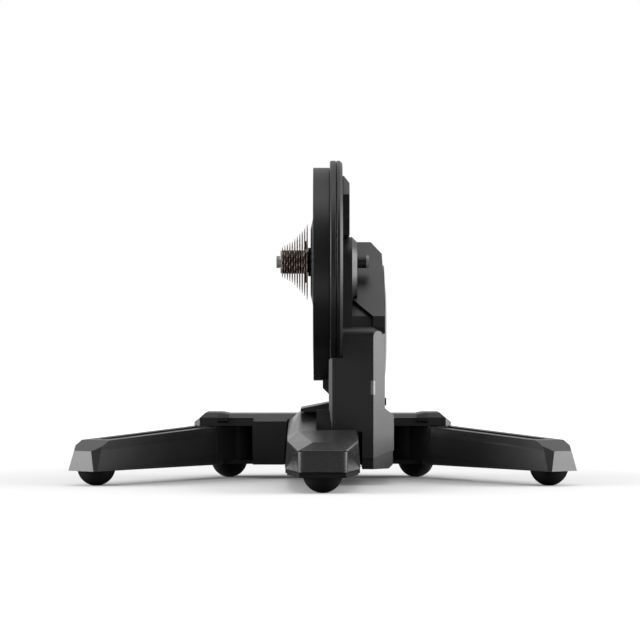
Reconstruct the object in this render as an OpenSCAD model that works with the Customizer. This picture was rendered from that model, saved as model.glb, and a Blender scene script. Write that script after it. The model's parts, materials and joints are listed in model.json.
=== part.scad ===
// Direct drive bike trainer: a folding stand that carries a through-axle hub, a belt drive and a
// magnetically braked flywheel. X runs across the bike with the cassette on the -X side, Y runs
// towards the bike's rear and Z is up. The origin is on the floor, straight below the hub's middle.

/* [Stance] */
// Height of the hub axis above the floor, the radius of the road wheel that it replaces
hub_z = 341.5; // [330:0.5:360]
// Height of the castings' undersides above the floor
sole_z = 22.7; // [20:0.1:27]
// Distance from the hub axis forward to the nose of the front leg
nose_y = 262; // [250:1:280]
// Distance from the hub axis back to the rear face of the crossbar
rear_y = 262; // [258:1:280]
// Sideways distance from the middle to each leg hinge
hinge_x = 152; // [146:1:165]
// Distance from the hub axis back to the leg hinges
hinge_y = 219; // [212:1:222]

/* [Rubber feet] */
// Radius of each dome
foot_r = 29.4; // [24:0.2:30]
// Depth of the flat worn on the bottom of each dome
foot_flat = 0.5; // [0.3:0.1:1]
// Radius of the threaded stud moulded into each foot
stud_r = 4; // [3:0.5:5]
// Height of the stud above the dome
stud_h = 14; // [8:1:18]
// Distance from the nose back to the front foot's axis
front_foot_back = 35; // [32:1:45]

/* [Front leg] */
// Width of the flat nose face
nose_w = 69; // [60:1:76]
// Height of the nose face's upper edge above the floor
nose_face_z = 62; // [56:1:66]
// Height of the ridge behind the nose face
nose_ridge_z = 73; // [70:1:76]
// Depth of the nose facet behind the face
nose_facet = 22; // [16:1:30]
// Half width of the ridge behind the nose face
ridge_w = 14.5; // [10:0.5:20]
// Height of the leg's side edges at the end of the side facets
side_edge_z = 72.4; // [68:0.2:74]
// Half width of the leg where its side facets end
shoulder_w = 55; // [50:1:58]
// Distance from the nose back to the end of the side facets
shoulder_back = 92; // [80:1:100]
// Half width of the leg's foot at the crossbar
spine_w = 60; // [56:1:64]
// Half width of the leg where its top chamfer starts
spine_chamfer_w = 54; // [50:1:56]
// Half width of the leg's flat top
spine_top_w = 37; // [30:1:44]
// Height where the top chamfer starts
spine_side_z = 93; // [84:1:96]
// Height of the leg's flat top
spine_top_z = 108.5; // [104:0.5:111]
// Height of the seat that the column stands on
seat_z = 82; // [78:1:86]
// Wall of the leg casting
leg_wall = 6; // [4:0.5:9]
// Thickness of the dark sole under the nose
nose_sole_h = 7.5; // [5:0.5:9]

/* [Rear crossbar] */
// Distance from the hub axis back to the crossbar's front face
bar_front_y = 150; // [142:1:156]
// Height of the crossbar's flat top
bar_top_z = 104; // [100:1:108]
// Height of the crossbar's front face
bar_face_z = 92; // [86:1:96]
// Depth of the slope between the front face and the top
bar_slope = 22; // [15:1:28]
// Sideways distance from the middle to the wall of each leg pocket
pocket_x = 112; // [106:1:114]
// Thickness of the lower hinge ear
lower_ear_h = 5.8; // [5:0.2:8]
// Height of the upper hinge ear's underside
upper_ear_z = 85; // [84:0.5:88]
// Height of the upper ear's top, under the hinge cap
ear_top_z = 98; // [97:0.5:99]
// Distance from the hinge axis out to the end of the ear
ear_reach = 54; // [46:1:58]
// Radius of the round end of the lower ear
lower_ear_r = 43; // [38:1:43]
// Height of the top of the hinge cap
cap_top_z = 106; // [105.5:0.1:108]
// Wall of the crossbar casting
bar_wall = 8; // [6:1:12]

/* [Wing legs] */
// Angle of each open leg, forward of the crossbar's line
wing_angle = 52.8; // [50:0.2:56]
// Angle by which each leg folds in to lie along the front leg
fold_angle = 37; // [30:0.2:40]
// Distance from the hinge axis to the end face
leg_len = 354.5; // [345:0.5:375]
// Distance from the end face back to the tip foot's axis
tip_foot_inset = 35.5; // [34:0.5:50]
// Width of the leg
leg_w = 60; // [54:1:64]
// Size of the corner facets at the foot of the tip
tip_facet = 5.5; // [4:0.5:9]
// Lean of the corner facets at the tip
tip_lean = 16; // [8:1:22]
// Height of the leg's top at the tip
tip_top_z = 69; // [64:1:74]
// Height of the end face
end_face_z = 53; // [45:1:56]
// How far the end face leans back over its height
end_lean = 5; // [3:0.5:8]
// Depth of the slope above the end face
end_slope = 28.5; // [20:0.5:32]
// Radius of the leg's round root
root_r = 36; // [33:1:38]
// Distance from the hinge axis to the step in the underside
underside_step_at = 49; // [47:1:60]
// Distance from the hinge axis to the near end of the long slot
slot_from = 118; // [110:1:130]
// Distance from the end face back to the long slot
slot_inset = 49.5; // [48:0.5:80]
// Width of the long slot
slot_w = 25; // [18:1:28]
// Distance from the hinge axis to the near end of the shallow tray before the slot
tray_from = 68; // [60:1:80]
// Depth of the shallow tray
tray_depth = 3; // [2:0.5:5]
// How far the band along the leg's upper edge stands in from its side
band_inset = 2; // [0.8:0.2:2.4]
// Height of that band
band_h = 14; // [10:1:18]

/* [Leg hinge and lock] */
// Radius of the hinge pin
pin_r = 10; // [8:0.5:11]
// Wall of the hinge bush
bush_wall = 2.5; // [1.5:0.5:4]
// Radius of the lock pin
lock_r = 4.2; // [3:0.2:5]
// Distance from the hinge axis to the lock pin
lock_at = 26; // [24:0.5:27]
// Direction of the left lock pin, seen from its hinge
lock_angle = 252; // [250:1:254]
// Depth of the lock pin in the leg's groove
lock_depth = 3.5; // [2.5:0.5:4]
// Lift that frees the leg
lock_lift = 4.2; // [4:0.1:4.4]
// Width of the release paddle
paddle_w = 16; // [13:1:20]

/* [Column] */
// Distance from the hub axis forward to the column's front face
column_front = 50; // [46:1:54]
// Left edge of the front face
column_left = 14.5; // [14:0.5:18]
// Right edge of the front face
column_right = 77; // [72:1:80]
// Right side of the column
column_side = 95; // [92:1:97]
// Width of the thin facet down the left edge
column_facet = 5; // [4:0.5:7]
// Depth of the slanting facet down the right edge
column_slant = 20; // [14:1:26]
// Height of the shoulder where the front face starts to curve back
shoulder_z = 227; // [220:1:232]
// Radius of the curve over the shoulder
shoulder_r = 14; // [10:1:18]
// Fall of the shoulder towards the right side
shoulder_fall = 29; // [20:1:32]
// Step down from the front face's top to the falling shoulder
shoulder_step = 0.5; // [0.3:0.1:2]
// Distance from the hub axis back to the rear of the base
base_rear = 120; // [114:1:128]
// Right side of the base
base_side = 109; // [104:1:112]
// Height of the base's right shoulder
base_shoulder_z = 106; // [100:1:110]
// Height where the base runs into the column
base_top_z = 117; // [114:1:122]
// Height of the underside of the base, on the dark plate
plate_top_z = 42; // [38:1:46]
// Left side of the low block beside the column
block_left = -9; // [-14:1:-4]
// Height of the low block
block_top_z = 115; // [111:1:118]
// Wall of the column casting
column_wall = 6; // [5:0.5:9]
// Thickness of the upright that carries the hub
upright_t = 14.7; // [12:0.1:16]
// Height of the bracket under the belt cover
chin_z = 137; // [132:1:142]

/* [Hub] */
// Over-locknut width of the hub
hub_w = 142; // [135:1:148]
// Bore for a 12 mm through axle
bore_r = 6.1; // [6.05:0.05:6.2]
// Radius of the fixed axle tube
axle_r = 8.5; // [8:0.1:9]
// Radius of the drive side end cap
drive_cap_r = 9.25; // [8.8:0.05:10]
// Radius of the other end cap
far_cap_r = 9.9; // [9:0.1:11]
// Length of the drive side end cap
drive_cap_t = 5.3; // [4:0.1:6]
// Length of the other end cap
far_cap_t = 4; // [3:0.1:5]
// Radius of the round boss that holds the axle
boss_r = 38.5; // [34:0.5:42]
// Length of the cone on the boss
boss_cone = 7.6; // [5:0.2:9]
// How far the round of the boss runs down the upright
boss_drop = 19; // [10:1:24]
// Outer radius of the hub bearings
hub_bearing_r = 15; // [14:0.5:16]
// Outer radius of the pulley's sleeve
sleeve_r = 20; // [18:0.5:21.5]
// Radius of the seal behind the cassette
seal_r = 22; // [21:0.5:24]
// Radius kept free for the bicycle frame around the hub's far end
dropout_room = 25; // [20:0.5:25.3]

/* [Cassette] */
// Pitch of the bicycle chain
chain_pitch = 12.7; // [12.6:0.1:12.8]
// Distance from cog to cog
cog_step = 3.8; // [3.7:0.05:3.95]
// Thickness of a cog
cog_t = 1.6; // [1.4:0.1:1.9]
// Distance from the drive side end face to the smallest cog
cog_inset = 8.3; // [7.8:0.1:8.8]
// Outer radius of the freehub's splined body
freehub_r = 16.5; // [16:0.1:17]
// Outer radius of the spacers between cogs
spacer_r = 18; // [17.5:0.1:19]
// Height of the teeth above the pitch circle
tooth_h = 2.6; // [2:0.1:3]
// Depth of the tooth gaps below the pitch circle
gap_h = 3.8; // [3.4:0.1:4]
// Radius of the spider that joins the largest cogs
spider_r = 31; // [28:0.5:34]

/* [Belt drive] */
// Distance from the hub axis back to the flywheel shaft
shaft_y = 95; // [92:1:98]
// Height of the flywheel's room above the top of the base
fly_floor = 11; // [8:0.5:14]
// Radius of the large pulley
pulley_r = 118; // [112:1:120]
// Radius of the small pulley
pinion_r = 12; // [10.5:0.5:14]
// Width of the belt
belt_w = 16; // [12:1:18]
// Thickness of the belt
belt_t = 3; // [2:0.5:4]
// Distance from the belt cover's face to the middle of the belt
belt_inset = 15.6; // [14.6:0.1:16.1]
// Radius of the tensioning idler
idler_r = 13; // [10:0.5:14]
// Radius of the idler's bolt
idler_bolt_r = 4; // [3:0.5:5]

/* [Covers] */
// Gap from the largest cog to the belt cover's face
cover_gap = 8.5; // [8:0.1:9]
// Radius of the belt cover about the hub
cover_r = 144.6; // [142:0.2:147]
// Radius of the belt cover about the flywheel shaft
cover_lobe_r = 78; // [70:1:80]
// Wall of the covers
cover_wall = 3; // [2:0.1:3.4]
// How far the ring stands out past the belt cover
ring_step = 10.8; // [8:0.2:13]
// Side of the ring next to the belt cover
ring_x = 11; // [10.5:0.1:12]
// Side of the ring next to the upright
ring_back_x = 30; // [29:0.1:30]
// Radius of the rounding on the ring's edge next to the belt cover
ring_round = 2.5; // [1.5:0.5:5]
// Size of the chamfer on the ring's other edge
ring_chamfer = 4; // [3:0.2:4]
// Width of the groove between the ring's two shells
ring_groove = 0.6; // [0.4:0.1:1]
// Radius of the raised dome's foot on the belt cover
dome_r = 69; // [60:1:75]
// Radius of the dome's flat middle
dome_top_r = 51; // [45:1:56]
// Height of the dome
dome_h = 3.9; // [3:0.1:4.2]
// Radius of the hole in the dome for the hub
dome_hole_r = 24.5; // [24.3:0.1:27]

/* [Flywheel and brake] */
// Radius of the flywheel
fly_r = 104; // [100:0.5:106]
// Inner face of the flywheel's rim
fly_x0 = 58; // [56:0.5:60]
// Outer face of the flywheel's rim
fly_x1 = 96; // [94:0.5:97]
// Depth of the flywheel's heavy rim
rim_t = 20; // [15:1:22]
// Thickness of the flywheel's web
web_t = 8; // [6:0.5:10]
// Height of the flywheel's domed face
fly_dome = 3; // [2:0.5:5]
// Radius of the flywheel shaft
shaft_r = 8.5; // [8:0.1:9]
// Outer radius of the shaft bearings
shaft_bearing_r = 17.5; // [16:0.5:20]
// Number of electromagnets in the brake
coil_n = 6; // [4:1:8]
// Gap between the electromagnets and the flywheel's rim
brake_gap = 4; // [2:0.5:8]
// Width of one pole
pole_w = 14; // [10:1:16]
// Thickness of a coil's winding
coil_t = 5; // [3:0.5:6]

/* [Flywheel guard] */
// Least wall between the flywheel's room and the guard's front slope
guard_shell = 5.1; // [4:0.1:8]
// Wall behind the flywheel's room
guard_back = 11; // [8:0.5:16]
// Height of the guard's top
guard_top_z = 375; // [368:1:380]
// Height of the guard's lower front edge
guard_low_z = 258; // [250:1:266]
// Running room around the flywheel
fly_gap = 4; // [3:0.5:6]
// Wall of the guard between the hub's boss and the flywheel's room
guard_wall = 2; // [1.5:0.5:4]

/* [Carrying handle] */
// Half length of the handle
handle_half = 70; // [62:1:78]
// Distance of the handle's top below the ring's top
handle_drop = 25.9; // [22.9:0.5:30.9]
// Height of the grip bar
grip_h = 42; // [37:1:47]
// Half width of the finger gap
finger_half = 47; // [42:1:50]
// Depth of the handle across the bike
handle_t = 10.5; // [9:0.5:14]
// Depth of the finger tray behind the grip bar
tray_t = 12; // [8:0.5:13]

/* [Fasteners and small parts] */
// Number of screws around the ring
rim_screws = 9; // [6:1:12]
// Radius of the ring screws' heads
rim_screw_r = 3.2; // [2.5:0.1:3.4]
// Distance of the ring screws from the ring's edge
rim_screw_inset = 7.4; // [6.4:0.2:9]
// Radius of the base bolts' heads
bolt_head_r = 7; // [5.5:0.5:8]
// Height of the base bolts' heads
bolt_head_h = 4; // [3:0.5:5]
// Height of the status window
window_h = 21; // [16:1:26]
// Width of the status window on each side of the column's edge
window_w = 4; // [3:0.5:6.5]
// Radius of the round plug on the column's side
plug_r = 6; // [4:0.5:7]

/* [Fits] */
// Gap between fixed pieces that are bolted together
seam = 0.3; // [0.2:0.05:0.5]
// Radial gap of a pressed or screwed fit
seat_gap = 0.02; // [0.01:0.01:0.04]
// Radial gap of a running fit
run_gap = 0.05; // [0.03:0.01:0.08]
// Gap beside a turning face
side_gap = 0.5; // [0.4:0.05:0.8]

/* [Hidden] */
$fn = 96;
cog_teeth = [11, 12, 13, 14, 15, 17, 19, 21];
cluster_teeth = [23, 25, 28];

casting = [0.13, 0.13, 0.14];
plastic = [0.10, 0.10, 0.11];
rubber = [0.05, 0.05, 0.05];
steel = [0.62, 0.62, 0.64];
nickel = [0.56, 0.50, 0.45];

front_foot_y = -nose_y + front_foot_back;
foot_centre_z = foot_r - foot_flat;
leg_root_low = sole_z + lower_ear_h + side_gap;
leg_root_top = upper_ear_z - side_gap;
tip_foot_at = leg_len - tip_foot_inset;
slot_to = leg_len - slot_inset;
fly_cavity_r = fly_r + fly_gap;
shaft_z = base_top_z + fly_floor + fly_cavity_r;
pole_r = fly_r - rim_t - brake_gap;
ring_r = cover_r + ring_step;
rim_screw_circle = ring_r - rim_screw_inset;
handle_top_z = hub_z + ring_r - handle_drop;
handle_low_z = hub_z + boss_r;
grip_low_z = handle_top_z - grip_h;
upright_x = ring_back_x + seam;
upright_back = upright_x + upright_t;
guard_x = upright_back + seam;
boss_end = upright_back + boss_cone;
fly_room_x = boss_end + guard_wall;
first_cog_x = -hub_w / 2 + cog_inset;
cassette_end = first_cog_x + 10 * cog_step + cog_t;
cover_face_x = cassette_end + cover_gap;
belt_x = cover_face_x + belt_inset;
pulley_low = belt_x - belt_w / 2 - 1;
pulley_high = belt_x + belt_w / 2 + 1;
belt_in = pulley_r + seam;
belt_in_small = pinion_r + seam;
ring_split = (ring_x + ring_back_x) / 2;
lock_x = -hinge_x + lock_at * cos(lock_angle);
lock_y = hinge_y + lock_at * sin(lock_angle);
lock_low = leg_root_top - lock_depth;
lever_z = upper_ear_z + 6;
lever_t = 4;
lever_room = 0.5;
cap_roof = lever_z + lever_t + lock_lift + 3.8;
freehub_x0 = first_cog_x;
freehub_x1 = cassette_end + 1.2;
base_inner = spine_w + seam;
seat_top = seat_z + seam;
shaft_hub = [shaft_y, shaft_z];

// Circle and line outline around the hub and the flywheel shaft, in Y and Z.
centre_gap = norm([shaft_y, shaft_z - hub_z]);
centre_dir = atan2(shaft_z - hub_z, shaft_y);
function tangent_dir(ra, rb, side) = centre_dir + side * acos((ra - rb) / centre_gap);
function from_hub(r, a) = [r * cos(a), hub_z + r * sin(a)];
function from_shaft(r, a) = [shaft_y + r * cos(a), shaft_z + r * sin(a)];

module twin_outline(ra, rb) {
    up = tangent_dir(ra, rb, 1);
    down = tangent_dir(ra, rb, -1);
    translate([0, hub_z]) circle(ra);
    translate([shaft_y, shaft_z]) circle(rb);
    polygon([from_hub(ra, up), from_hub(ra, down), from_shaft(rb, down), from_shaft(rb, up)]);
}

// Extrudes a Y and Z outline from x0 to x1.
module along_x(x0, x1) {
    translate([x0, 0, 0]) rotate([90, 0, 90]) linear_extrude(x1 - x0) children();
}

// Extrudes an X and Z outline from y0 to y1.
module along_y(y0, y1) {
    translate([0, y1, 0]) rotate([90, 0, 0]) linear_extrude(y1 - y0) children();
}

// A rod across the bike at y, z.
module rod_x(r, x0, x1, y, z) {
    translate([x0, y, z]) rotate([0, 90, 0]) cylinder(r = r, h = x1 - x0);
}

// A cone across the bike at y, z.
module cone_x(ra, rb, x0, x1, y, z) {
    translate([x0, y, z]) rotate([0, 90, 0]) cylinder(r1 = ra, r2 = rb, h = x1 - x0);
}

module tube_x(r_out, r_in, x0, x1, y, z) {
    difference() {
        rod_x(r_out, x0, x1, y, z);
        rod_x(r_in, x0 - 1, x1 + 1, y, z);
    }
}

// A box between two corners.
module box(low, high) {
    translate(low) cube(high - low);
}

module both_sides() {
    children();
    mirror([1, 0, 0]) children();
}

module left_leg_place() {
    translate([-hinge_x, hinge_y, 0]) rotate(180 + wing_angle) children();
}

// Feet

module rubber_foot() {
    intersection() {
        translate([0, 0, foot_centre_z]) sphere(foot_r);
        cylinder(r = foot_r + 1, h = sole_z - seat_gap);
    }
    translate([0, 0, sole_z - 2]) cylinder(r = stud_r, h = stud_h);
}

module stand_feet() color(rubber) {
    translate([0, front_foot_y, 0]) rubber_foot();
    both_sides() translate([-hinge_x, hinge_y, 0]) rubber_foot();
}

module left_tip_foot() color(rubber) {
    left_leg_place() translate([tip_foot_at, 0, 0]) rubber_foot();
}

module right_tip_foot() mirror([1, 0, 0]) left_tip_foot();

module stud_bore() {
    translate([0, 0, sole_z - 1]) cylinder(r = stud_r + seat_gap, h = stud_h);
}

// Front leg

spine_slope_y = 20;
housing_end_y = -118;
nose_taper = 3;
housing_w = shoulder_w + 0.8;
housing_top_z = seat_z + 3;

function both(x, y, z) = [[-x, y, z], [x, y, z]];

// The solid between a set of corners.
module corners(points) {
    hull() polyhedron(points = points, faces = [[for (i = [0:len(points) - 1]) i]]);
}

module front_leg_solid() {
    low = sole_z + nose_sole_h + seam;
    bar_y = bar_front_y - seam;
    corners(concat(
        both(nose_w / 2, -nose_y, low), both(shoulder_w, shoulder_back - nose_y, low),
        both(housing_w, housing_end_y, low), both(nose_w / 2, -nose_y, nose_face_z),
        both(ridge_w, nose_facet - nose_y, nose_ridge_z),
        both(shoulder_w - nose_taper, shoulder_back - nose_y, side_edge_z),
        both(housing_w - nose_taper, housing_end_y, side_edge_z + 3.4),
        both(spine_top_w, housing_end_y, housing_top_z)));
    corners(concat(
        both(housing_w, housing_end_y, sole_z), both(spine_w, bar_y, sole_z),
        both(housing_w - nose_taper, housing_end_y, side_edge_z + 3.4),
        both(spine_top_w, housing_end_y, housing_top_z),
        both(spine_chamfer_w, bar_y, spine_side_z), both(spine_top_w, bar_y, spine_top_z),
        both(spine_top_w, spine_slope_y, spine_top_z)));
}

module front_leg() color(casting) difference() {
    front_leg_solid();
    // seat for the column
    box([block_left - seam, -column_front - seam, seat_z], [spine_w + 1, base_rear + seam, spine_top_z + 1]);
    box([block_left - seam, housing_end_y, housing_top_z], [spine_w + 1, -column_front, spine_top_z + 1]);
    // hollow underside, closed at the column and at the crossbar
    box([-shoulder_w + leg_wall + 2, housing_end_y + leg_wall, sole_z - 1],
        [shoulder_w - leg_wall - 2, -column_front - leg_wall, seat_z - leg_wall]);
    box([-shoulder_w + leg_wall, -column_front, sole_z - 1],
        [shoulder_w - leg_wall, bar_front_y - 2 * leg_wall, seat_z - leg_wall]);
    translate([0, front_foot_y, 0]) stud_bore();
}

module front_sole() color(rubber) difference() {
    inset = 2.5;
    translate([0, 0, sole_z]) linear_extrude(nose_sole_h) polygon([
        [-nose_w / 2 + 1, -nose_y + inset], [nose_w / 2 - 1, -nose_y + inset],
        [shoulder_w - inset, shoulder_back - nose_y], [shoulder_w - inset, housing_end_y - seam],
        [-shoulder_w + inset, housing_end_y - seam], [-shoulder_w + inset, shoulder_back - nose_y]]);
    translate([0, front_foot_y, 0]) stud_bore();
}

// Rear crossbar and hinges

cap_chamfer = 18;
cap_slope = 9;
pocket_wall = 5;
groove_w = 3;
ear_corner = 9;

module ear_plan(grow) {
    polygon([
        [-pocket_x + 1, bar_front_y - grow], [-hinge_x - ear_reach + ear_corner, bar_front_y - grow],
        [-hinge_x - ear_reach, bar_front_y + ear_corner - grow], [-hinge_x - ear_reach, rear_y - 14],
        [-hinge_x - ear_reach + 14, rear_y], [-pocket_x + 1, rear_y]]);
}

module bar_profile() {
    polygon([
        [bar_front_y, sole_z], [bar_front_y, bar_face_z], [bar_front_y + bar_slope, bar_top_z],
        [rear_y - 12, bar_top_z], [rear_y, bar_face_z], [rear_y, sole_z]]);
}

module lever_channel(z0, z1) {
    half = lock_r + lever_room;
    box([lock_x - half - 1.6, bar_front_y - 1, z0], [lock_x + half + 1.6, lock_y + half + 1.6, z1]);
}

// The front leg's section where it meets the crossbar, grown sideways and up.
module spine_section(grow) {
    polygon([
        [-spine_w - grow, sole_z - grow], [-spine_chamfer_w - grow, spine_side_z + grow / 2],
        [-spine_top_w, spine_top_z + grow], [spine_top_w, spine_top_z + grow],
        [spine_chamfer_w + grow, spine_side_z + grow / 2], [spine_w + grow, sole_z - grow]]);
}

module rear_crossbar() color(casting) difference() {
    union() {
        along_x(-pocket_x, pocket_x) bar_profile();
        both_sides() {
            // the bar's top runs on to the hinge cap
            intersection() {
                along_x(-hinge_x + seam, -pocket_x + 1) bar_profile();
                box([-hinge_x, bar_front_y, upper_ear_z], [0, rear_y, bar_top_z + 1]);
            }
            // wall behind the leg's root
            box([-hinge_x - 12, rear_y - pocket_wall, sole_z], [-pocket_x + 1, rear_y, upper_ear_z + 1]);
            intersection() {
                translate([0, 0, upper_ear_z]) linear_extrude(ear_top_z - upper_ear_z) ear_plan(0);
                along_x(-hinge_x - ear_reach, -pocket_x + 1) polygon([
                    [bar_front_y, sole_z], [bar_front_y, ear_top_z], [rear_y - 6, ear_top_z],
                    [rear_y, bar_face_z], [rear_y, sole_z]]);
                along_y(bar_front_y, rear_y) polygon([
                    [-hinge_x - ear_reach, upper_ear_z - 1], [-hinge_x - ear_reach, upper_ear_z + 6],
                    [-hinge_x - ear_reach + 9, ear_top_z], [0, ear_top_z], [0, upper_ear_z - 1]]);
            }
            translate([0, 0, sole_z]) linear_extrude(lower_ear_h) union() {
                translate([-hinge_x, hinge_y]) circle(lower_ear_r);
                translate([-hinge_x, hinge_y - lower_ear_r])
                    square([hinge_x - pocket_x + 1, rear_y - hinge_y + lower_ear_r]);
            }
        }
    }
    both_sides() {
        translate([-hinge_x, hinge_y, sole_z - 1])
            cylinder(r = pin_r + seat_gap, h = ear_top_z - sole_z + 2);
        translate([lock_x, lock_y, upper_ear_z - 1]) cylinder(r = lock_r + run_gap, h = 20);
        lever_channel(lever_z - lever_room, ear_top_z + 1);
    }
    // dark groove around the end of the front leg
    along_y(bar_front_y - 1, bar_front_y + 7) difference() {
        spine_section(groove_w);
        spine_section(0);
    }
    // hollow underside
    box([-pocket_x + bar_wall, bar_front_y + 3 * bar_wall, sole_z - 1],
        [pocket_x - bar_wall, rear_y - bar_wall, bar_face_z - bar_wall]);
}

module hinge_pins() color(steel) both_sides() difference() {
    translate([-hinge_x, hinge_y, sole_z]) cylinder(r = pin_r, h = ear_top_z - sole_z);
    translate([-hinge_x, hinge_y, 0]) stud_bore();
}

module hinge_caps() color(plastic) both_sides() difference() {
    low = ear_top_z + seat_gap;
    intersection() {
        translate([0, 0, low]) linear_extrude(cap_top_z - low) ear_plan(0);
        along_y(bar_front_y, rear_y) polygon([
            [-hinge_x - ear_reach + 9, low], [-hinge_x - ear_reach + cap_chamfer, cap_top_z],
            [-hinge_x - 11, cap_top_z], [-hinge_x, bar_top_z], [-hinge_x, low]]);
        along_x(-hinge_x - ear_reach, -pocket_x) polygon([
            [bar_front_y + 1, low], [bar_front_y + cap_slope, cap_top_z],
            [rear_y - cap_slope, cap_top_z], [rear_y - 6, low]]);
    }
    lever_channel(low - 1, cap_roof);
}

module left_hinge_bush() color(steel) translate([-hinge_x, hinge_y, leg_root_low]) difference() {
    cylinder(r = pin_r + bush_wall, h = leg_root_top - leg_root_low);
    translate([0, 0, -1]) cylinder(r = pin_r + run_gap, h = leg_root_top);
}

module right_hinge_bush() mirror([1, 0, 0]) left_hinge_bush();

// Release lever: a paddle in front of the ear, an arm and the lock pin.
module left_release_lever() color(plastic) {
    translate([lock_x, lock_y, lock_low]) cylinder(r = lock_r, h = lever_z + lever_t - lock_low);
    box([lock_x - lock_r, bar_front_y - 1, lever_z], [lock_x + lock_r, lock_y, lever_z + lever_t]);
    along_x(lock_x - paddle_w / 2, lock_x + paddle_w / 2) polygon([
        [bar_front_y - 6, lever_z + 2], [bar_front_y - 6, lever_z + 7], [bar_front_y - 2.5, lever_z + 13],
        [bar_front_y - seam, lever_z + 13], [bar_front_y - seam, lever_z - 1], [bar_front_y - 3.5, lever_z - 1]]);
}

module right_release_lever() mirror([1, 0, 0]) left_release_lever();

module left_lever_spring() color(steel) translate([lock_x, lock_y, lever_z + lever_t]) difference() {
    low = seat_gap;
    translate([0, 0, low]) cylinder(r = lock_r, h = cap_roof - lever_z - lever_t - low - seat_gap);
    translate([0, 0, -1]) cylinder(r = lock_r - 1.2, h = cap_roof);
}

module right_lever_spring() mirror([1, 0, 0]) left_lever_spring();

// Wing legs, drawn along X from the hinge axis and then turned into place

module wing_leg_plan() {
    circle(root_r);
    translate([0, -leg_w / 2]) square([leg_len, leg_w]);
}

top_from = leg_len - end_lean - end_slope;
top_drop = (leg_root_top - tip_top_z) / (top_from - underside_step_at);
function leg_top_at(x) = leg_root_top - top_drop * (x - underside_step_at);

// What is cut from one corner of the tip: a leaning facet.
module tip_corner() {
    translate([leg_len, leg_w / 2, sole_z]) rotate(45) translate([-tip_facet / sqrt(2), 0, 0])
        rotate([0, -tip_lean, 0]) box([0, -60, -20], [60, 60, 90]);
}

// What is cut from one side: a band along the top, and below it a slope that runs out to the side.
module side_band() {
    from = root_r + 34;
    translate([from, leg_w / 2, leg_top_at(from)]) rotate([0, atan(top_drop), 0])
        along_x(0, leg_len) polygon([
            [-band_inset, 5], [-band_inset, -band_h], [0, leg_root_low - leg_root_top + 12],
            [5, leg_root_low - leg_root_top + 12], [5, 5]]);
}

module wing_leg_shape() {
    pocket_w = (leg_w - slot_w) / 2 - 2 * leg_wall + 2;
    groove_half = asin((lock_r + side_gap) / lock_at);
    lock_local = lock_angle - 180 - wing_angle;
    difference() {
        intersection() {
            translate([0, 0, sole_z]) linear_extrude(leg_root_top) wing_leg_plan();
            along_y(-root_r - 1, root_r + 1) polygon([
                [-root_r, leg_root_low], [underside_step_at, leg_root_low],
                [underside_step_at + 5, sole_z], [leg_len - 1, sole_z],
                [leg_len - end_lean, end_face_z], [top_from, tip_top_z],
                [underside_step_at, leg_root_top], [-root_r, leg_root_top]]);
        }
        tip_corner();
        mirror([0, 1, 0]) tip_corner();
        side_band();
        mirror([0, 1, 0]) side_band();
        // long slot through the leg
        translate([0, 0, sole_z - 1]) linear_extrude(leg_root_top) union() {
            translate([slot_from + slot_w / 2, 0]) circle(slot_w / 2);
            translate([slot_to - slot_w / 2, 0]) circle(slot_w / 2);
            translate([slot_from + slot_w / 2, -slot_w / 2]) square([slot_to - slot_from - slot_w, slot_w]);
        }
        // shallow tray in front of the slot
        along_y(-slot_w / 2, slot_w / 2) polygon([
            [tray_from, leg_top_at(tray_from) + 1], [tray_from, leg_top_at(tray_from) - 0.4],
            [tray_from + 10, leg_top_at(tray_from + 10) - tray_depth],
            [slot_from + slot_w / 2, leg_top_at(slot_from + slot_w / 2) - tray_depth],
            [slot_from + slot_w / 2, leg_top_at(tray_from) + 1]]);
        // hollows under both rails
        for (s = [-1, 1]) translate([0, s * (slot_w / 2 + leg_w / 2) / 2, 0])
            box([slot_from, -pocket_w / 2, sole_z - 1], [slot_to - 30, pocket_w / 2, end_face_z]);
        // hinge bore and the arc that the lock pin travels in
        translate([0, 0, sole_z]) cylinder(r = pin_r + bush_wall + seat_gap, h = leg_root_top);
        translate([0, 0, lock_low - side_gap])
            rotate(lock_local - fold_angle - groove_half)
                rotate_extrude(angle = fold_angle + 2 * groove_half)
                    translate([lock_at - lock_r - side_gap, 0])
                        square([2 * (lock_r + side_gap), lock_depth + 5]);
        translate([tip_foot_at, 0, 0]) stud_bore();
    }
}

module left_wing_leg() color(casting) left_leg_place() wing_leg_shape();

module right_wing_leg() mirror([1, 0, 0]) left_wing_leg();

// Column

tower_top_z = shoulder_z + shoulder_r;
block_lean = 7;
chin_top_z = shaft_z - cover_lobe_r + 8;
bay_x = upright_x + column_wall;
bay_depth = 36;
neck_set_back = 8;
upright_r = 0.72 * fly_cavity_r;

// Corner of the guard's front that gives way to the neck, in X and Z.
module neck_corner(gap) {
    polygon([
        [upright_x, tower_top_z - 1], [column_right - gap, tower_top_z - 1],
        [column_right - gap, guard_low_z - gap], [upright_back, guard_corner_z - gap],
        [upright_x, guard_corner_z - gap]]);
}

// The round of the hub's boss, drawn out downwards.
module boss_round(ra, rb, x0, x1) {
    cone_x(ra, rb, x0, x1, 0, hub_z);
    hull() for (z = [hub_z, hub_z - boss_drop]) cone_x(ra, rb, x0, x1, 0, z);
}

module column_plan() {
    polygon([
        [column_left - column_facet, -column_front + 8], [column_left, -column_front],
        [column_right, -column_front], [column_side, -column_front + column_slant],
        [column_side, base_rear], [column_left - column_facet, base_rear]]);
}

// The column's side, in Y and Z, with its top curved back.
module shoulder_profile() {
    translate([-column_front + shoulder_r, shoulder_z]) circle(shoulder_r);
    polygon([
        [-column_front, seat_top], [-column_front, shoulder_z],
        [-column_front + shoulder_r, tower_top_z], [base_rear, tower_top_z], [base_rear, seat_top]]);
}

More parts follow.
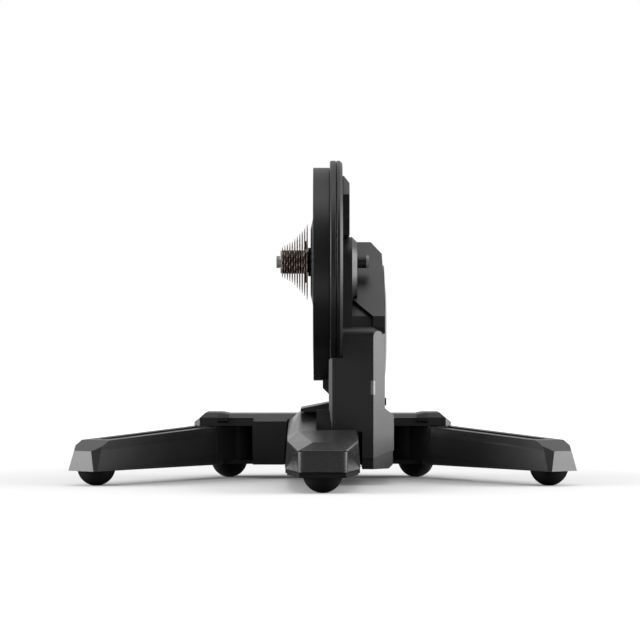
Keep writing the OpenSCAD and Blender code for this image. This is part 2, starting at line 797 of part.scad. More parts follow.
// The same, falling to the right from the edge of the front face.
module fallen_shoulder(gap) {
    drop = shoulder_r * (1 / cos(shoulder_fall) - 1) + shoulder_step;
    translate([column_right, 0, shoulder_z - drop + gap]) rotate([0, shoulder_fall, 0])
        translate([0, 0, -shoulder_z]) along_x(-100, 120) shoulder_profile();
}

// Height of the base's underside, which rises to the right.
function plate_top_at(x) = plate_top_z + max(0, x - column_right) / 3;

module base_outline() {
    polygon([
        [base_inner, plate_top_z], [column_right, plate_top_z], [base_side, plate_top_at(base_side)],
        [base_side, base_shoulder_z], [column_side, base_top_z], [base_inner, base_top_z]]);
}

module column() color(casting) difference() {
    union() {
        // tower, with its shoulder curved back
        intersection() {
            translate([0, 0, seat_top]) linear_extrude(hub_z) column_plan();
            union() {
                along_x(0, column_right) shoulder_profile();
                intersection() {
                    box([column_right, -column_front, seat_top], [column_side, base_rear, hub_z]);
                    fallen_shoulder(0);
                }
            }
        }
        // base beside the front leg
        intersection() {
            along_y(-column_front, base_rear) base_outline();
            translate([0, 0, plate_top_z]) linear_extrude(base_top_z) polygon([
                [base_inner, -column_front], [column_right, -column_front],
                [base_side, -column_front + column_slant + 12], [base_side, base_rear],
                [base_inner, base_rear]]);
        }
        // low block on the front leg, with its face leaning back
        along_x(block_left, column_left) polygon([
            [-column_front, seat_top], [-column_front + block_lean, block_top_z],
            [base_rear, block_top_z], [base_rear, seat_top]]);
        // bracket under the belt cover
        along_y(shaft_y - 20, base_rear) polygon([
            [0, chin_top_z], [0, chin_z + 9.5], [column_left - column_facet, chin_z],
            [column_left, chin_z], [column_left, chin_top_z]]);
        // upright to the hub and its boss
        along_x(upright_x, upright_back) union() {
            translate([0, hub_z]) circle(boss_r);
            translate([shaft_y, shaft_z]) circle(upright_r);
            polygon([
                [-boss_r, hub_z], [-column_front + shoulder_r, shoulder_z], [base_rear, shoulder_z],
                from_shaft(upright_r, centre_dir + 90), from_hub(boss_r, centre_dir + 90)]);
        }
        boss_round(boss_r, boss_r - boss_cone, upright_back, boss_end);
        // dark neck set back under the guard's lower front corner
        intersection() {
            along_x(upright_back - 1, column_right) guard_outline(neck_set_back);
            along_y(-column_front, guard_front) neck_corner(seam);
        }
    }
    // room for the covers and for the flywheel
    along_x(cover_face_x - 10, upright_x) twin_outline(ring_r + seam, cover_lobe_r + seam);
    rod_x(fly_cavity_r, fly_room_x, base_side + 1, shaft_y, shaft_z);
    // bores for the axle and the flywheel bearings
    rod_x(axle_r + seat_gap, 0, boss_end + 1, 0, hub_z);
    rod_x(shaft_bearing_r + seat_gap, 0, base_side, shaft_y, shaft_z);
    // electronics bay in the tower and hollow base
    box([bay_x, -column_front + column_wall, seat_z],
        [column_right - column_wall, -column_front + bay_depth, shoulder_z - 2 * column_wall]);
    box([base_inner + column_wall, -column_front + 3 * column_wall, plate_top_z - 1],
        [column_side - column_wall, base_rear - column_wall, base_top_z - 2 * column_wall]);
    // seat of the status window on the front edge
    window_seat();
    rod_x(plug_r - 1.5 + seat_gap, column_side - 8, column_side + 20, plug_y, plug_z);
    // power socket
    translate([inlet_x, base_rear + 1, inlet_z]) rotate([90, 0, 0])
        cylinder(r = inlet_r + seat_gap, h = column_wall + 3);
}

module base_plate() color(plastic) difference() {
    intersection() {
        translate([0, 0, base_plate_z]) linear_extrude(plate_top_z) polygon([
            [base_inner, -column_front + 1], [column_right, -column_front + 1],
            [base_side - 1.5, -column_front + column_slant + 13.5], [base_side - 1.5, base_rear],
            [base_inner, base_rear]]);
        along_y(-column_front, base_rear) polygon([
            [base_inner, base_plate_z], [base_side - 8, base_plate_z], [base_side - 1.5, base_plate_z + 6],
            [base_side - 1.5, plate_top_at(base_side - 1.5) - seam], [column_right, plate_top_z - seam],
            [base_inner, plate_top_z - seam]]);
    }
    for (p = bolt_spots) translate([p[0], p[1], base_plate_z]) {
        translate([0, 0, -1]) cylinder(r = bolt_head_r + seat_gap, h = bolt_head_h + 1.5 + seat_gap);
        cylinder(r = bolt_shank_r + seat_gap, h = plate_top_z);
    }
}

// Slanting cover beside the column: its edge stands a little above the leg and its face leans back.
module base_cover() color(casting) difference() {
    cover_block();
    along_x(-spine_w, column_left) polygon([
        [-column_front + 29, 0], [-column_front + 30, spine_top_z], [-column_front + 30 + block_lean, block_top_z + 16],
        [-column_front + 29, block_top_z + 16]]);
}

module cover_block() {
    edge_x = -spine_top_w + 3;
    edge_z = spine_top_z + 3;
    along_y(-column_front + 30, base_rear) polygon([
        [edge_x, edge_z], [edge_x, edge_z + 5], [column_left - column_facet - seam, block_top_z + 10],
        [column_left - column_facet - seam, block_top_z + seat_gap],
        [block_left - seam, block_top_z + seat_gap], [block_left - seam, edge_z]]);
    along_y(spine_slope_y + 10, base_rear) polygon([
        [edge_x + 4, spine_top_z + seat_gap], [edge_x + 4, edge_z + 1],
        [block_left - seam, edge_z + 1], [block_left - seam, spine_top_z + seat_gap]]);
}

window_z = 138.5;

window_depth = 2.5;
slant_dir = atan2(column_slant, column_side - column_right);

// Bent strip around the column's front edge, from d0 outside the faces to d1 inside them.
module window_strip(half, d0, d1, height) {
    along = [cos(slant_dir), sin(slant_dir)];
    inward = [-sin(slant_dir), cos(slant_dir)];
    bend = tan(slant_dir / 2);
    translate([column_right, -column_front]) linear_extrude(height) polygon([
        [-half, d0], [-d0 * bend, d0], half * along + d0 * inward,
        half * along + d1 * inward, [-d1 * bend, d1], [-half, d1]]);
}

module window_seat() {
    translate([0, 0, window_z - seat_gap])
        window_strip(window_w + seat_gap, -1, window_depth + seat_gap, window_h + 2 * seat_gap);
}

module status_window() color([0.75, 0.78, 0.8, 0.8])
    translate([0, 0, window_z]) window_strip(window_w, 0, window_depth, window_h);

plug_y = -12;
plug_z = 127;

module side_plug() color(plastic) {
    rod_x(plug_r - 1.5, column_side - 7, column_side + seat_gap, plug_y, plug_z);
    rod_x(plug_r, column_side + seat_gap, column_side + 2.5, plug_y, plug_z);
}

inlet_x = 82;
inlet_z = 76;
inlet_r = 6;

module power_inlet() color(plastic) translate([inlet_x, base_rear, inlet_z]) rotate([90, 0, 0]) difference() {
    translate([0, 0, -1.5]) union() {
        cylinder(r = inlet_r + 2, h = 1.5 - seat_gap);
        cylinder(r = inlet_r, h = column_wall + 6);
    }
    difference() {
        translate([0, 0, -3]) cylinder(r = inlet_r - 2.5, h = column_wall + 4);
        translate([0, 0, -1]) cylinder(r = 1, h = column_wall + 6);
    }
}

board_t = 1.6;
board_back = 12;
board_low = 20;
board_top = 24;
relay = [18, 7, 18];
relay_low = 34;
chip = [26, 5, 18];
chip_low = 70;

module control_board() color([0.1, 0.35, 0.2]) {
    x0 = bay_x + seat_gap;
    back = -column_front + column_wall + board_back;
    box([x0, back, seat_z + board_low],
        [column_right - column_wall - seat_gap, back + board_t, shoulder_z - board_top]);
    translate([x0 + bolt_in, back - relay[1], seat_z + relay_low]) cube(relay);
    translate([x0 + bolt_in - 4, back - chip[1], seat_z + chip_low]) cube(chip);
}

// Hub

module hub_axle() color(steel) tube_x(axle_r, bore_r, -hub_w / 2 + drive_cap_t, boss_end, 0, hub_z);

module end_caps() color([0.3, 0.3, 0.32]) {
    tube_x(drive_cap_r, bore_r, -hub_w / 2, -hub_w / 2 + drive_cap_t, 0, hub_z);
    tube_x(far_cap_r, bore_r, hub_w / 2 - far_cap_t, hub_w / 2, 0, hub_z);
}

module axle_spacer() color(plastic) tube_x(drive_cap_r, bore_r, boss_end, hub_w / 2 - far_cap_t, 0, hub_z);

hub_bearing_w = 9;
sleeve_x0 = cassette_end + 2.2;
sleeve_x1 = ring_back_x - 4;

module hub_bearings() color(steel) {
    tube_x(hub_bearing_r, axle_r + seat_gap, sleeve_x0 + 1, sleeve_x0 + 1 + hub_bearing_w, 0, hub_z);
    tube_x(hub_bearing_r, axle_r + seat_gap, sleeve_x1 - hub_bearing_w, sleeve_x1, 0, hub_z);
    tube_x(freehub_r - 3, axle_r + seat_gap, freehub_x0 + 1, freehub_x0 + 8, 0, hub_z);
    tube_x(freehub_r - 3, axle_r + seat_gap, freehub_x1 - 8, freehub_x1 - 1, 0, hub_z);
    // spacer sleeve between the inner rings
    tube_x(axle_r + 1.5, axle_r + seat_gap, sleeve_x0 + 1 + hub_bearing_w, sleeve_x1 - hub_bearing_w, 0, hub_z);
}

// Belt flanges, rim depth and web windows of the large pulley.
flange_h = 1.5;
rim_depth = 8;
window_at = 68;
window_r = 22;

module drive_pulley() color(steel) difference() {
    web = 5;
    union() {
        tube_x(pulley_r, pulley_r - rim_depth, pulley_low, pulley_high, 0, hub_z);
        for (x = [pulley_low, pulley_high - 1])
            tube_x(pulley_r + flange_h, pulley_r - rim_depth, x, x + 1, 0, hub_z);
        rod_x(pulley_r - rim_depth + 1, belt_x - web / 2, belt_x + web / 2, 0, hub_z);
        rod_x(sleeve_r, sleeve_x0, sleeve_x1, 0, hub_z);
    }
    rod_x(hub_bearing_r + run_gap, sleeve_x0 - 1, sleeve_x1 + 1, 0, hub_z);
    for (i = [0:5]) rotate_about_hub(60 * i)
        rod_x(window_r, belt_x - web, belt_x + web, 0, hub_z + window_at);
}

module hub_seal() color(rubber)
    tube_x(seal_r, sleeve_r + seat_gap, sleeve_x0, cover_face_x - dome_h + 1.5, 0, hub_z);

// Cassette

module freehub_body() color([0.2, 0.2, 0.2])
    tube_x(freehub_r, freehub_r - 3 + run_gap, freehub_x0, freehub_x1, 0, hub_z);

module cassette_lockring() color(nickel) {
    tube_x(spacer_r - 0.5, axle_r + 1.5, first_cog_x - 2, first_cog_x - seat_gap, 0, hub_z);
}

function pitch_r(teeth) = chain_pitch / (2 * sin(180 / teeth));

// Half tooth points turned round the hub, four points for each tooth.
function cog_points(teeth) = [
    for (i = [0:teeth - 1], p = [[-0.34, -gap_h], [-0.12, tooth_h], [0.12, tooth_h], [0.34, -gap_h]])
        from_hub(pitch_r(teeth) + p[1], (i + p[0]) * 360 / teeth)];

module cog_blank(teeth, x, r_in) {
    difference() {
        along_x(x, x + cog_t) polygon(cog_points(teeth));
        rod_x(r_in, x - 1, x + cog_t + 1, 0, hub_z);
        // lightening windows in the larger cogs
        if (teeth > 15)
            for (i = [0:5]) rotate_about_hub(60 * i + 50)
                rod_x((pitch_r(teeth) - gap_h - freehub_r - 5) / 2.3, x - 1, x + cog_t + 1,
                      (pitch_r(teeth) - gap_h + freehub_r + 1.2) / 2, hub_z);
    }
}

module rotate_about_hub(a) {
    translate([0, 0, hub_z]) rotate([a, 0, 0]) translate([0, 0, -hub_z]) children();
}

module cog(i) color(nickel)
    cog_blank(cog_teeth[i], first_cog_x + i * cog_step, freehub_r + seat_gap);

module cog_cluster() color(nickel) difference() {
    x0 = first_cog_x + len(cog_teeth) * cog_step;
    union() {
        for (i = [0:2]) cog_blank(cluster_teeth[i], x0 + i * cog_step, spacer_r - 1);
        tube_x(spacer_r, freehub_r + seat_gap, x0, x0 + 2 * cog_step + cog_t, 0, hub_z);
        for (i = [0:5]) rotate_about_hub(60 * i + 20)
            box([x0, spacer_r - 0.8, hub_z - 3.5], [x0 + 2 * cog_step + cog_t, spider_r, hub_z + 3.5]);
    }
    rod_x(freehub_r + seat_gap, x0 - 1, x0 + 4 * cog_step, 0, hub_z);
}

module cog_spacers() color([0.25, 0.24, 0.23])
    for (i = [0:len(cog_teeth) - 1])
        tube_x(spacer_r, freehub_r + seat_gap, first_cog_x + i * cog_step + cog_t + seat_gap,
               first_cog_x + (i + 1) * cog_step - seat_gap, 0, hub_z);

// Belt drive

module drive_belt() color(rubber) along_x(belt_x - belt_w / 2, belt_x + belt_w / 2) difference() {
    twin_outline(belt_in + belt_t, belt_in_small + belt_t);
    twin_outline(belt_in, belt_in_small);
}

idler_dir = tangent_dir(belt_in, belt_in_small, -1);
idler_lift = belt_t + seam + idler_r;
idler_mid = (from_hub(belt_in, idler_dir) + 2 * from_shaft(belt_in_small, idler_dir)) / 3;
idler_y = idler_mid[0] + idler_lift * cos(idler_dir);
idler_z = idler_mid[1] + idler_lift * sin(idler_dir);

module idler_pulley() color(steel)
    tube_x(idler_r, idler_bolt_r + run_gap, belt_x - belt_w / 2, belt_x + belt_w / 2, idler_y, idler_z);

module idler_bracket() color(steel) {
    rod_x(idler_bolt_r, belt_x - belt_w / 2 - 2, ring_back_x - cover_wall - seat_gap, idler_y, idler_z);
    rod_x(idler_bolt_r + 3, belt_x - belt_w / 2 - 3.5, belt_x - belt_w / 2 - side_gap, idler_y, idler_z);
    rod_x(idler_r + 2, belt_x + belt_w / 2 + side_gap, ring_back_x - cover_wall - seat_gap, idler_y, idler_z);
}

module small_pulley() color(steel) {
    tube_x(pinion_r, shaft_r + seat_gap, pulley_low, pulley_high, shaft_y, shaft_z);
    for (x = [pulley_low - 1, pulley_high])
        tube_x(pinion_r + flange_h, shaft_r + seat_gap, x, x + 1, shaft_y, shaft_z);
}

// Covers

module cover_shell(x0, x1, ra, rb) {
    along_x(x0, x1) twin_outline(ra, rb);
}

// One shell of the ring, with its outer edges rounded, or cut to a chamfer in one step.
module ring_shell(x0, x1, round_low, round_high, steps = 6) {
    translate([0, 0, hub_z]) rotate([0, 90, 0]) rotate_extrude($fn = 180) polygon(concat(
        [[0, x0]],
        [for (i = [0:steps]) [ring_r - round_low * (1 - sin(90 * i / steps)), x0 + round_low * (1 - cos(90 * i / steps))]],
        [for (i = [0:steps]) [ring_r - round_high * (1 - cos(90 * i / steps)), x1 - round_high * (1 - sin(90 * i / steps))]],
        [[0, x1]]));
}

module belt_cover() color(plastic) difference() {
    cover_shell(cover_face_x, ring_x - seam, cover_r, cover_lobe_r);
    cover_shell(cover_face_x + cover_wall, ring_x + 1, cover_r - cover_wall, cover_lobe_r - cover_wall);
    rod_x(dome_hole_r, cover_face_x - 1, ring_x, 0, hub_z);
}

module cover_dome() color(plastic) difference() {
    cone_x(dome_top_r, dome_r, cover_face_x - dome_h, cover_face_x - seat_gap, 0, hub_z);
    rod_x(dome_hole_r, cover_face_x - dome_h - 1, cover_face_x + 1, 0, hub_z);
}

module cover_ring() color(plastic) difference() {
    union() {
        ring_shell(ring_x, ring_split - ring_groove / 2, ring_round, 1.5);
        cover_shell(ring_x, ring_split - ring_groove / 2, cover_r, cover_lobe_r);
    }
    cover_shell(ring_x - 1, ring_split + 1, cover_r - cover_wall, cover_lobe_r - cover_wall);
}

module finger_tray(grow) {
    box([ring_back_x - tray_t - grow, -finger_half - grow, handle_low_z + 12 - grow],
        [ring_back_x + 1, finger_half + grow, handle_top_z - 12 + grow]);
}

module inner_cover() color(plastic) difference() {
    union() {
        difference() {
            union() {
                ring_shell(ring_split + ring_groove / 2 - 0.3, ring_back_x, 1.5, ring_chamfer, 1);
                cover_shell(ring_split + ring_groove / 2 - 0.3, ring_back_x, cover_r, cover_lobe_r);
            }
            cover_shell(ring_split - 1, ring_back_x - cover_wall, cover_r - cover_wall, cover_lobe_r - cover_wall);
        }
        intersection() {
            finger_tray(cover_wall);
            cover_shell(ring_x, ring_back_x, cover_r, cover_lobe_r);
        }
    }
    finger_tray(0);
    rod_x(sleeve_r + 2, 0, ring_back_x + 1, 0, hub_z);
    rod_x(shaft_bearing_r + 1, 0, ring_back_x + 1, shaft_y, shaft_z);
    for (i = [0:rim_screws - 1]) rotate_about_hub(screw_start + 360 * i / rim_screws)
        rod_x(rim_screw_r + 0.5, ring_back_x - 1.5, ring_back_x + 1, 0, hub_z + rim_screw_circle);
}

screw_start = -0.7;

module cover_screws() color(steel) for (i = [0:rim_screws - 1])
    rotate_about_hub(screw_start + 360 * i / rim_screws)
        rod_x(rim_screw_r, ring_back_x - 1.5 + seat_gap, ring_back_x - 0.3, 0, hub_z + rim_screw_circle);

// Flywheel, brake and guard

module flywheel() color([0.16, 0.16, 0.17]) difference() {
    union() {
        rod_x(fly_r, fly_x0, fly_x1, shaft_y, shaft_z);
        cone_x(fly_r - 12, fly_r - 40, fly_x1, fly_x1 + fly_dome, shaft_y, shaft_z);
    }
    difference() {
        rod_x(fly_r - rim_t, fly_x0 - 1, fly_x1 - web_t, shaft_y, shaft_z);
        rod_x(shaft_r + 9, fly_x0 + 6, fly_x1, shaft_y, shaft_z);
    }
    rod_x(shaft_r + seat_gap, fly_x0 - 2, fly_x1 + fly_dome + 1, shaft_y, shaft_z);
    rod_x(nut_r + 4, fly_x1 + fly_dome - nut_room, fly_x1 + fly_dome + 1, shaft_y, shaft_z);
}

nut_r = 12;
nut_room = 5;

module flywheel_nut() color(steel) difference() {
    rod_x(nut_r, fly_x1 + fly_dome - nut_room + seat_gap, fly_x1 + fly_dome - 0.5, shaft_y, shaft_z);
    rod_x(shaft_r + seat_gap, fly_x1 - nut_room, fly_x1 + fly_dome - 2, shaft_y, shaft_z);
}

module flywheel_shaft() color(steel)
    rod_x(shaft_r, pulley_low - 1, fly_x1 + fly_dome - 2 - seat_gap, shaft_y, shaft_z);

shaft_bearing_w = 10;

module shaft_bearings() color(steel) for (x = [upright_x, upright_back - 1])
    tube_x(shaft_bearing_r, shaft_r + run_gap, x, x + (x == upright_x ? shaft_bearing_w : 8), shaft_y, shaft_z);

yoke_t = 5;

module brake_yoke() color(steel) {
    x0 = fly_room_x + seat_gap;
    tube_x(shaft_bearing_r + 17, shaft_bearing_r + 1, x0, x0 + yoke_t, shaft_y, shaft_z);
    for (i = [0:coil_n - 1]) translate([0, shaft_y, shaft_z]) rotate([360 * i / coil_n, 0, 0]) {
        box([x0, -pole_w / 2, shaft_bearing_r + 8], [x0 + yoke_t, pole_w / 2, pole_r]);
        box([x0 + yoke_t - 0.5, -pole_w / 2, pole_r - 22], [fly_x1 - web_t - coil_t - 4, pole_w / 2, pole_r - 4]);
    }
}

module brake_coils() color([0.6, 0.3, 0.12]) for (i = [0:coil_n - 1])
    translate([0, shaft_y, shaft_z]) rotate([360 * i / coil_n, 0, 0]) difference() {
        x0 = fly_room_x + yoke_t + 1;
        box([x0, -pole_w / 2 - coil_t, pole_r - 22 - coil_t], [fly_x1 - web_t - coil_t - 6, pole_w / 2 + coil_t, pole_r - 4 + coil_t - 3]);
        box([x0 - 1, -pole_w / 2 - 0.1, pole_r - 22.1], [fly_x1, pole_w / 2 + 0.1, pole_r - 3.9]);
    }

module speed_sensor() color(plastic) {
    a = centre_dir + 178;
    translate([0, shaft_y, shaft_z]) rotate([a, 0, 0])
        box([fly_room_x + seat_gap, fly_r - rim_t - 30, -5], [fly_x0 - 1, fly_r - rim_t + 12, 5]);
}

// Side outline of the guard, in Y and Z, with its front edge set back.
module guard_outline(set_back) {
    polygon([
        [guard_nose_y + set_back - 6, tower_top_z + seam], [guard_nose_y + set_back, guard_low_z],
        [guard_front + set_back, hub_z + 4], [guard_front + 26 + set_back, guard_top_z],
        [shaft_y + 44, guard_top_z], [guard_rear - 22, hub_z], [guard_rear, shaft_z + 40],
        [guard_rear, shaft_z - 50], [guard_rear - 50, base_top_z + seam],
        [base_rear + seam, base_top_z + seam], [base_rear + seam, tower_top_z + seam]]);
}

guard_nose_y = shaft_y - fly_cavity_r - 15;
guard_rear = shaft_y + fly_cavity_r + guard_back;
nose_to_shaft = [shaft_y - guard_nose_y, shaft_z - guard_low_z];
guard_slope_dir = atan2(nose_to_shaft[1], nose_to_shaft[0])
    + asin((fly_cavity_r + guard_shell) / norm(nose_to_shaft));
guard_front = guard_nose_y + (hub_z + 4 - guard_low_z) / tan(guard_slope_dir);
guard_corner_z = guard_low_z + 27;
skirt_h = 16;

module flywheel_guard() color(casting) difference() {
    intersection() {
        union() {
            along_x(guard_x, column_side) guard_outline(0);
            // skirt over the falling end of the column's shoulder
            difference() {
                along_x(column_right + seam, column_side) polygon([
                    [guard_nose_y - 6, tower_top_z + 1], [guard_nose_y - 8, tower_top_z - skirt_h],
                    [guard_nose_y + 18, tower_top_z - skirt_h], [guard_nose_y + 18, tower_top_z + 1]]);
                fallen_shoulder(seam);
            }
        }
        along_y(guard_nose_y - 10, guard_rear) polygon([
            [guard_x, base_top_z], [guard_x, guard_top_z - 3], [guard_x + 5, guard_top_z],
            [column_right - 2, guard_top_z], [column_side - 3, guard_top_z - 19],
            [column_side - 2, hub_z - 5], [column_side, guard_low_z], [column_side, base_top_z]]);
    }
    // the lower front corner slopes up to the hub
    along_y(-column_front, guard_front) neck_corner(0);
    rod_x(fly_cavity_r, fly_room_x, column_side + 1, shaft_y, shaft_z);
    rod_x(shaft_bearing_r + 1, guard_x - 1, column_side, shaft_y, shaft_z);
    boss_round(boss_r + seam, boss_r + seam, guard_x - 1, boss_end + seam);
    rod_x(dropout_room, boss_end, column_side + 1, 0, hub_z);
}

// Handle and fasteners

module carry_handle() color(casting) difference() {
    intersection() {
        along_x(upright_x, upright_x + handle_t) polygon([
            [-handle_half, handle_low_z], [-handle_half, grip_low_z + 12], [-handle_half + 26, handle_top_z],
            [handle_half - 26, handle_top_z], [handle_half, grip_low_z + 12], [handle_half, handle_low_z]]);
        along_y(-handle_half, handle_half) polygon([
            [upright_x, handle_low_z], [upright_x, handle_top_z], [upright_x + 2, handle_top_z],
            [upright_x + handle_t, handle_top_z - 12], [upright_x + handle_t, handle_low_z]]);
        along_x(0, upright_back) twin_outline(ring_r - 8, cover_lobe_r);
    }
    box([upright_x - 1, -finger_half, handle_low_z + 12], [upright_x + handle_t + 1, finger_half, grip_low_z]);
}

// Bolts that hold the dark plate up against the base, with their heads let into the plate.
bolt_in = 12;
bolt_out = 6;
bolt_front = 16;
bolt_front_out = 50;
bolt_back = 14;
bolt_spots = [
    [base_inner + bolt_in, -column_front + bolt_front], [column_side - bolt_out, -column_front + bolt_front_out],
    [base_inner + bolt_in, base_rear - bolt_back], [column_side - bolt_out, base_rear - bolt_back]];
bolt_shank_r = 3;
base_plate_z = sole_z + 2.3;

module base_bolts() color(steel) for (p = bolt_spots) translate([p[0], p[1], base_plate_z + 0.5]) {
    cylinder(r = bolt_head_r, h = bolt_head_h);
    cylinder(r = bolt_shank_r, h = plate_top_at(p[0]) - base_plate_z - 1);
}

front_leg();
front_sole();
rear_crossbar();
base_plate();
column();
base_cover();
flywheel_guard();
inner_cover();
cover_ring();
belt_cover();
cover_dome();
carry_handle();
hub_axle();
end_caps();
axle_spacer();
hub_bearings();
drive_pulley();
hub_seal();
freehub_body();
cassette_lockring();
cog_spacers();
cog_cluster();
for (i = [0:len(cog_teeth) - 1])
    cog(i);
drive_belt();
idler_pulley();
idler_bracket();
flywheel();
flywheel_shaft();
small_pulley();
flywheel_nut();
shaft_bearings();
brake_yoke();
brake_coils();
control_board();
power_inlet();
status_window();
speed_sensor();
side_plug();
stand_feet();
hinge_pins();
hinge_caps();
base_bolts();
cover_screws();
left_wing_leg();
right_wing_leg();
left_hinge_bush();
right_hinge_bush();
left_tip_foot();
right_tip_foot();
left_release_lever();
right_release_lever();
left_lever_spring();
right_lever_spring();
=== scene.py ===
import json
import math

import bmesh
import bpy
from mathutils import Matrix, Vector


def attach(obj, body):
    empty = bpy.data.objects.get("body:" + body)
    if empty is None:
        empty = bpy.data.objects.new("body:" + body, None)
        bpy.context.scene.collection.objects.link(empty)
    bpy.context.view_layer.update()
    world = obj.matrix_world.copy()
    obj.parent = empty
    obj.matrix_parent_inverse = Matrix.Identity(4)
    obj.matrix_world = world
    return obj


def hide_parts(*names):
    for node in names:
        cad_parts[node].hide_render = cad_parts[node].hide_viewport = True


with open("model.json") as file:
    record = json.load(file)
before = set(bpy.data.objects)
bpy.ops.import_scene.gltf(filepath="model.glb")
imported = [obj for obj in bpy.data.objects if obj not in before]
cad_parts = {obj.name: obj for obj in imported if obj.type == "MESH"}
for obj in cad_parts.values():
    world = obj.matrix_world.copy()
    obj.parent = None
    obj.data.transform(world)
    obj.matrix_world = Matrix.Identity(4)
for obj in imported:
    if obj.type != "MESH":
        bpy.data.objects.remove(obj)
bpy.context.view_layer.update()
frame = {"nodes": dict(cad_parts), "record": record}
nodes = frame["nodes"]
bodyOfNode = {n: b for b, members in frame["record"]["behaviour"]["bodies"].items() for n in members}
hub = Vector((0, 0, 0.3415))
shaft = Vector((0, 0.095, 0.236))

print("frame loaded:", len(nodes), "nodes")

# camera, light and floor

studio = {
    # the eye stands level where the photo was taken from, as its floor points show
    "eyeHeight": 0.2015,
    "eyeDistance": 3.667,
    "sensorWidth": 36,
    "lens": 134.08,
    "shiftX": -0.0042,
    "shiftY": 0.0516,
    "farthest": 200,
    "worldLight": 0.94,
    "floorHalfWidth": 60,
    "floorShade": 0.52,
    "floorLift": (0.03, 0.66),  # near the object and far from it
    "liftFrom": 0.6,
    "liftTo": 2.2,
    "flagDistance": 1.9,
    "flagHalfWidth": 1.7,
    "flagHeight": 3.4,
    "nearFlagHalfWidth": 0.6,
    "nearFlagBack": 0.2,
    "brightStrip": (0.95, 0.42),  # floor that low front faces still mirror
    "cardLift": 0.0006,
    "cardShade": 0.004,
}

lamps = {
    # place, target, width, height, power
    "leftSoftbox": ((-2.3, -0.45, 0.75), (0, 0, 0.2), 1.8, 1.7, 88),
    "rightSoftbox": ((2.3, -0.15, 0.75), (0, 0, 0.2), 1.8, 1.7, 88),
    "topSoftbox": ((0, -0.6, 2.4), (0, 0, 0.1), 1.8, 1.2, 13),
}


def linked(name, data):
    thing = bpy.data.objects.new(name, data)
    bpy.context.scene.collection.objects.link(thing)
    return thing


def mathNode(tree, operation, a, b=None, c=None, clamp=False):
    node = tree.nodes.new("ShaderNodeMath")
    node.operation = operation
    node.use_clamp = clamp
    for socket, value in zip(node.inputs, (a, b, c)):
        if value is None:
            continue
        if isinstance(value, (int, float)):
            socket.default_value = value
        else:
            tree.links.new(value, socket)
    return node.outputs[0]


def makeCamera():
    eye = linked("photoCamera", bpy.data.cameras.new("photoCamera"))
    eye.location = (0, -studio["eyeDistance"], studio["eyeHeight"])
    eye.rotation_euler = (math.radians(90), 0, 0)
    eye.data.sensor_width = studio["sensorWidth"]
    eye.data.lens = studio["lens"]
    eye.data.shift_x = studio["shiftX"]
    eye.data.shift_y = studio["shiftY"]
    eye.data.clip_end = studio["farthest"]
    bpy.context.scene.camera = eye


def makeLamp(name, place, target, width, height, power):
    lamp = bpy.data.lights.new(name, "AREA")
    lamp.shape = "RECTANGLE"
    lamp.size, lamp.size_y, lamp.energy = width, height, power
    stand = linked(name, lamp)
    stand.location = place
    stand.rotation_euler = (Vector(target) - Vector(place)).to_track_quat("-Z", "Y").to_euler()


def seenDirectly(tree):
    # 1 for camera, mirror and see-through rays, 0 for light on its way between surfaces
    path = tree.nodes.new("ShaderNodeLightPath").outputs
    seen = mathNode(tree, "MAXIMUM", path["Is Camera Ray"], path["Is Glossy Ray"])
    return mathNode(tree, "MAXIMUM", seen, path["Is Transmission Ray"])


def makeWorld():
    # plain white where it is seen, a little dimmer as a light
    world = bpy.data.worlds.new("paleStudio")
    bpy.context.scene.world = world
    world.use_nodes = True
    tree = world.node_tree
    tree.nodes.clear()
    mix = tree.nodes.new("ShaderNodeMixShader")
    tree.links.new(seenDirectly(tree), mix.inputs["Fac"])
    for socket, strength in zip(mix.inputs[1:], (studio["worldLight"], 1)):
        light = tree.nodes.new("ShaderNodeBackground")
        light.inputs["Color"].default_value = (1, 1, 1, 1)
        light.inputs["Strength"].default_value = strength
        tree.links.new(light.outputs[0], socket)
    out = tree.nodes.new("ShaderNodeOutputWorld")
    tree.links.new(mix.outputs[0], out.inputs["Surface"])


def rectangle(name, corners):
    mesh = bpy.data.meshes.new(name)
    mesh.from_pydata(corners, [], [(0, 1, 2, 3)])
    return linked(name, mesh)


def matteSurface(thing, name, shade):
    mat = bpy.data.materials.new(name)
    mat.use_nodes = True
    shader = mat.node_tree.nodes["Principled BSDF"]
    shader.inputs["Base Color"].default_value = (shade, shade, shade, 1)
    shader.inputs["Roughness"].default_value = 1
    shader.inputs["Specular IOR Level"].default_value = 0
    thing.data.materials.append(mat)
    return mat.node_tree, shader


def makeFloor():
    near, far = -studio["floorHalfWidth"], studio["floorHalfWidth"]
    floor = rectangle("studioFloor", [(near, near, 0), (far, near, 0), (far, far, 0), (near, far, 0)])
    tree, shader = matteSurface(floor, "paleFloor", studio["floorShade"])
    coords = tree.nodes.new("ShaderNodeTexCoord")
    away = tree.nodes.new("ShaderNodeVectorMath")
    away.operation = "LENGTH"
    tree.links.new(coords.outputs["Object"], away.inputs[0])
    fade = tree.nodes.new("ShaderNodeMapRange")
    fade.inputs["From Min"].default_value = studio["liftFrom"]
    fade.inputs["From Max"].default_value = studio["liftTo"]
    fade.inputs["To Min"].default_value, fade.inputs["To Max"].default_value = studio["floorLift"]
    tree.links.new(away.outputs["Value"], fade.inputs["Value"])
    shader.inputs["Emission Color"].default_value = (1, 1, 1, 1)
    lift = mathNode(tree, "MULTIPLY", seenDirectly(tree), fade.outputs["Result"])
    tree.links.new(lift, shader.inputs["Emission Strength"])


def darkCard(name, corners):
    # keeps the bright room out of what the object mirrors, and casts no shadow
    card = rectangle(name, corners)
    matteSurface(card, name, studio["cardShade"])
    card.visible_camera = False
    card.visible_diffuse = False
    card.visible_shadow = False
    card.visible_transmission = False
    card.visible_volume_scatter = False


